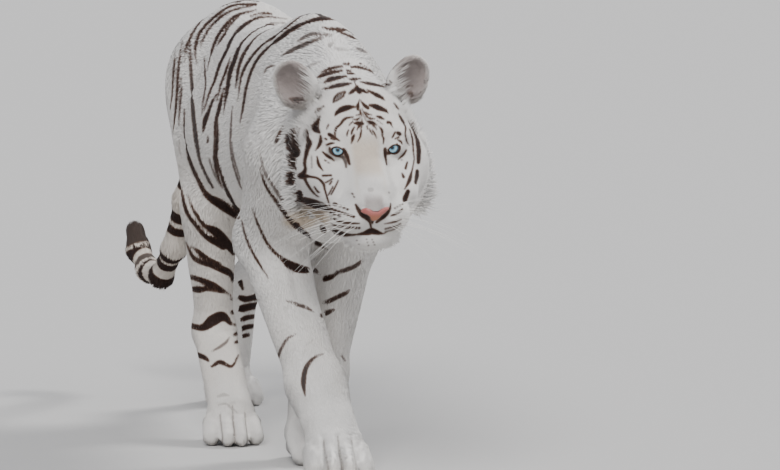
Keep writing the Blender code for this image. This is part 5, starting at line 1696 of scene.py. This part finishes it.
def dress():
    """Makes every piece: the skin, its coat of short and long locks, the eyes, the nose pad and the whiskers."""
    skin = body_skin()
    unwrapped(skin)
    place, normals, edges = vertex_array(skin), vertex_array(skin, "normal"), read(skin.edges, "vertices", 2, np.int32)
    shell = joined_nodes(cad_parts)
    markings = Markings(BVHTree.FromPolygons([v.co for v in shell.vertices], [p.vertices[:] for p in shell.polygons]))
    length, width, height = lock_sizes(place)
    columns = {
        "place": place, "normal": normals, "lie": lie_of_coat(place, normals, edges),
        "length": length, "width": width, "height": height, "broad": unit(spread(normals, edges, 14)),
    }
    sampler = SkinSampler(skin, columns)
    side, ahead, up = in_head(place)

    def grown(label, shape, locks, droop):
        """Turns locks a little, marks and tints them, and makes a piece of them for each part of the coat."""
        count = len(locks["length"])
        lean = 0.09 * rng.normal(size=count) + 0.14 * soft_noise(locks["place"], 0.02, 3)
        locks["lie"] = turned(locks["lie"], locks["normal"], lean)
        outer = locks["place"] + locks["normal"] * coat_depth(locks["place"])[:, None]
        shares = (0.0, *LOCK_SHAPES[shape][0], 1.0)
        stations = [outer + locks["lie"] * (locks["length"] * share)[:, None] for share in shares]
        facings = (np.tile(locks[kind], (len(stations), 1)) for kind in ("normal", "broad"))
        found = markings.at(np.concatenate(stations), *facings)
        depth, strength = (column.reshape(len(stations), count).T for column in found)
        cream_and_shade, grey_and_shade = tints(locks["place"], locks["normal"])
        tone = 1 + 0.035 * rng.normal(size=count) + 0.03 * soft_noise(locks["place"], 0.03, 6)
        values = {"depth": depth * 1000, "strength": strength, "cream_and_shade": cream_and_shade, "grey_and_shade": grey_and_shade, "tone": tone}
        part = coat_part(locks["place"])
        most = MOST_LOCKS[shape]
        for number, part_name in enumerate(PART_NAMES):
            chosen = np.flatnonzero(part == number)
            for begin in range(0, len(chosen), most):
                some = chosen[begin : begin + most]
                if len(some) < FEWEST_LOCKS:
                    continue
                name = "%s_%s%s" % (label, part_name, "_%d" % (begin // most + 1) if len(chosen) > most else "")
                finish(name, lock_mesh(name, shape, kept(locks, some), kept(values, some), droop), look)

    look = coat_look()
    density = COVER / (0.5 * length * width) * bare(place)
    density *= 1 - 0.30 * ramp(ahead, -0.06, 0.02)
    locks = sampler.scatter(density)
    count = len(locks["length"])
    locks["length"] *= rng.uniform(0.8, 1.2, count)
    locks["height"] *= rng.uniform(0.6, 1.15, count)
    grown("coat", "short", locks, 0.7)

    # long fur: the ruff behind the cheeks, the chin, and in and before the ears
    ruff = ramp(np.abs(side), 0.070, 0.10) * ramp(-ahead, 0.06, 0.10) * ramp(0.20 + ahead, 0.0, 0.05)
    ruff = ruff * ramp(-up, -0.05, 0.0) * ramp(up, -0.19, -0.15)
    chin = ramp(-up, 0.135, 0.165) * ramp(ahead, -0.04, 0.02) * ramp(0.12 - ahead, 0.0, 0.02)
    fringe = np.zeros(len(place))
    for sign, to_ear in TO_EARS:
        local = carried(place, to_ear)
        near_ear = (np.abs(local) < (0.06, 0.045, 0.075)).all(axis=1)
        inner = ramp(-sign * local[:, 0], 0.004, 0.020) * ramp(-local[:, 1], -0.004, 0.0)
        fringe += near_ear * (inner * ramp(0.028 - local[:, 2], 0, 0.02)) * ramp(local[:, 2], -0.05, -0.03)
    tuft = ramp(np.abs(side), 0.060, 0.080) * ramp(-ahead, 0.055, 0.075) * ramp(0.185 + ahead, 0, 0.02)
    tuft *= ramp(up, -0.035, -0.01) * ramp(0.078 - up, 0, 0.012) * (on_ears(place) < 0.3)
    for label, weight, size, wide, lift, many in (
        ("ruff", ruff, 0.050, 0.0019, 0.015, 56000), ("chin", chin, 0.020, 0.0014, 0.006, 46000),
        ("ear_fringe", fringe, 0.028, 0.0012, 0.007, 80000), ("ear_tuft", tuft, 0.020, 0.0014, 0.008, 70000),
    ):
        locks = sampler.scatter(weight * many)
        count = len(locks["length"])
        if not count:
            continue
        locks["length"] = size * rng.uniform(0.6, 1.25, count)
        locks["width"] = wide * rng.uniform(0.7, 1.2, count)
        locks["height"] = lift * rng.uniform(0.4, 1.2, count)
        if label.startswith("ear"):
            outward = np.sign(in_head(locks["place"])[0])
            climb = 0.55 if label == "ear_fringe" else 0.9
            way = np.stack([outward, np.full(count, 0.25), np.full(count, climb)], axis=1)
            locks["lie"] = laid_flat(unit(way) @ np.array(HEAD_BASIS).T, locks["normal"] * 0.7)
        grown(label, "long", locks, 0.9)

    depth, strength = markings.at(place + normals * coat_depth(place)[:, None], normals, columns["broad"])
    cream_and_shade, grey_and_shade = tints(place, normals)
    keep_values(skin, {"depth": depth * 1000, "strength": strength, "cream_and_shade": cream_and_shade, "grey_and_shade": grey_and_shade})
    skin.shade_smooth()
    finish("skin", skin, skin_look(), FLESH)

    look = eye_look()
    for name, _ in SIDES:
        finish("eyeball_" + name, eyeball(name), look, ("eye_" + name,))
    finish("nose_pad", nose_pad(), leather_look(), ("nose",))
    finish("whiskers", hairs("whiskers", *whisker_runs()), white_hair_look())


# ---- Studio --------------------------------------------------------------------------------------------------
def studio():
    scene = bpy.context.scene
    scene.world = bpy.data.worlds.new("studio")
    scene.world.use_nodes = True
    sky = scene.world.node_tree.nodes["Background"]
    sky.inputs["Color"].default_value = (0.86, 0.90, 1.0, 1)
    sky.inputs["Strength"].default_value = 0.55
    bm = bmesh.new()
    bmesh.ops.create_grid(bm, x_segments=1, y_segments=1, size=60)
    floor = in_scene("floor", mesh_from("floor", bm))
    look = Look("pale_floor")
    look.set(Base_Color=(0.50, 0.49, 0.475), Roughness=0.9)
    floor.data.materials.append(look.material)
    for name, way, angle, power in (
        ("key", (0.35, 0.80, -0.85), 30, 2.8),
        ("rim", (-0.75, -0.35, -0.75), 14, 2.4),
        ("fill", (-0.60, 0.70, -0.30), 60, 0.4),
    ):
        light = bpy.data.lights.new(name, "SUN")
        light.angle = math.radians(angle)
        light.energy = power
        in_scene(name, light).rotation_euler = Vector(way).to_track_quat("-Z", "Y").to_euler()
    camera = bpy.data.cameras.new("camera")
    camera.lens, camera.sensor_width, camera.clip_end = 226.15, 36, 200
    scene.camera = in_scene("camera", camera)
    scene.camera.location = WITHERS + ONLOOKER
    # the camera looks a little past the withers to the tiger's left, and down
    past, down = math.radians(0.84184), math.radians(5.43261)
    right = Vector((-TO_ONLOOKER.y, TO_ONLOOKER.x, 0))
    way = (-TO_ONLOOKER * math.cos(past) + right * math.sin(past)) * math.cos(down) - Vector((0, 0, math.sin(down)))
    scene.camera.rotation_euler = way.to_track_quat("-Z", "Y").to_euler()


dress()
studio()
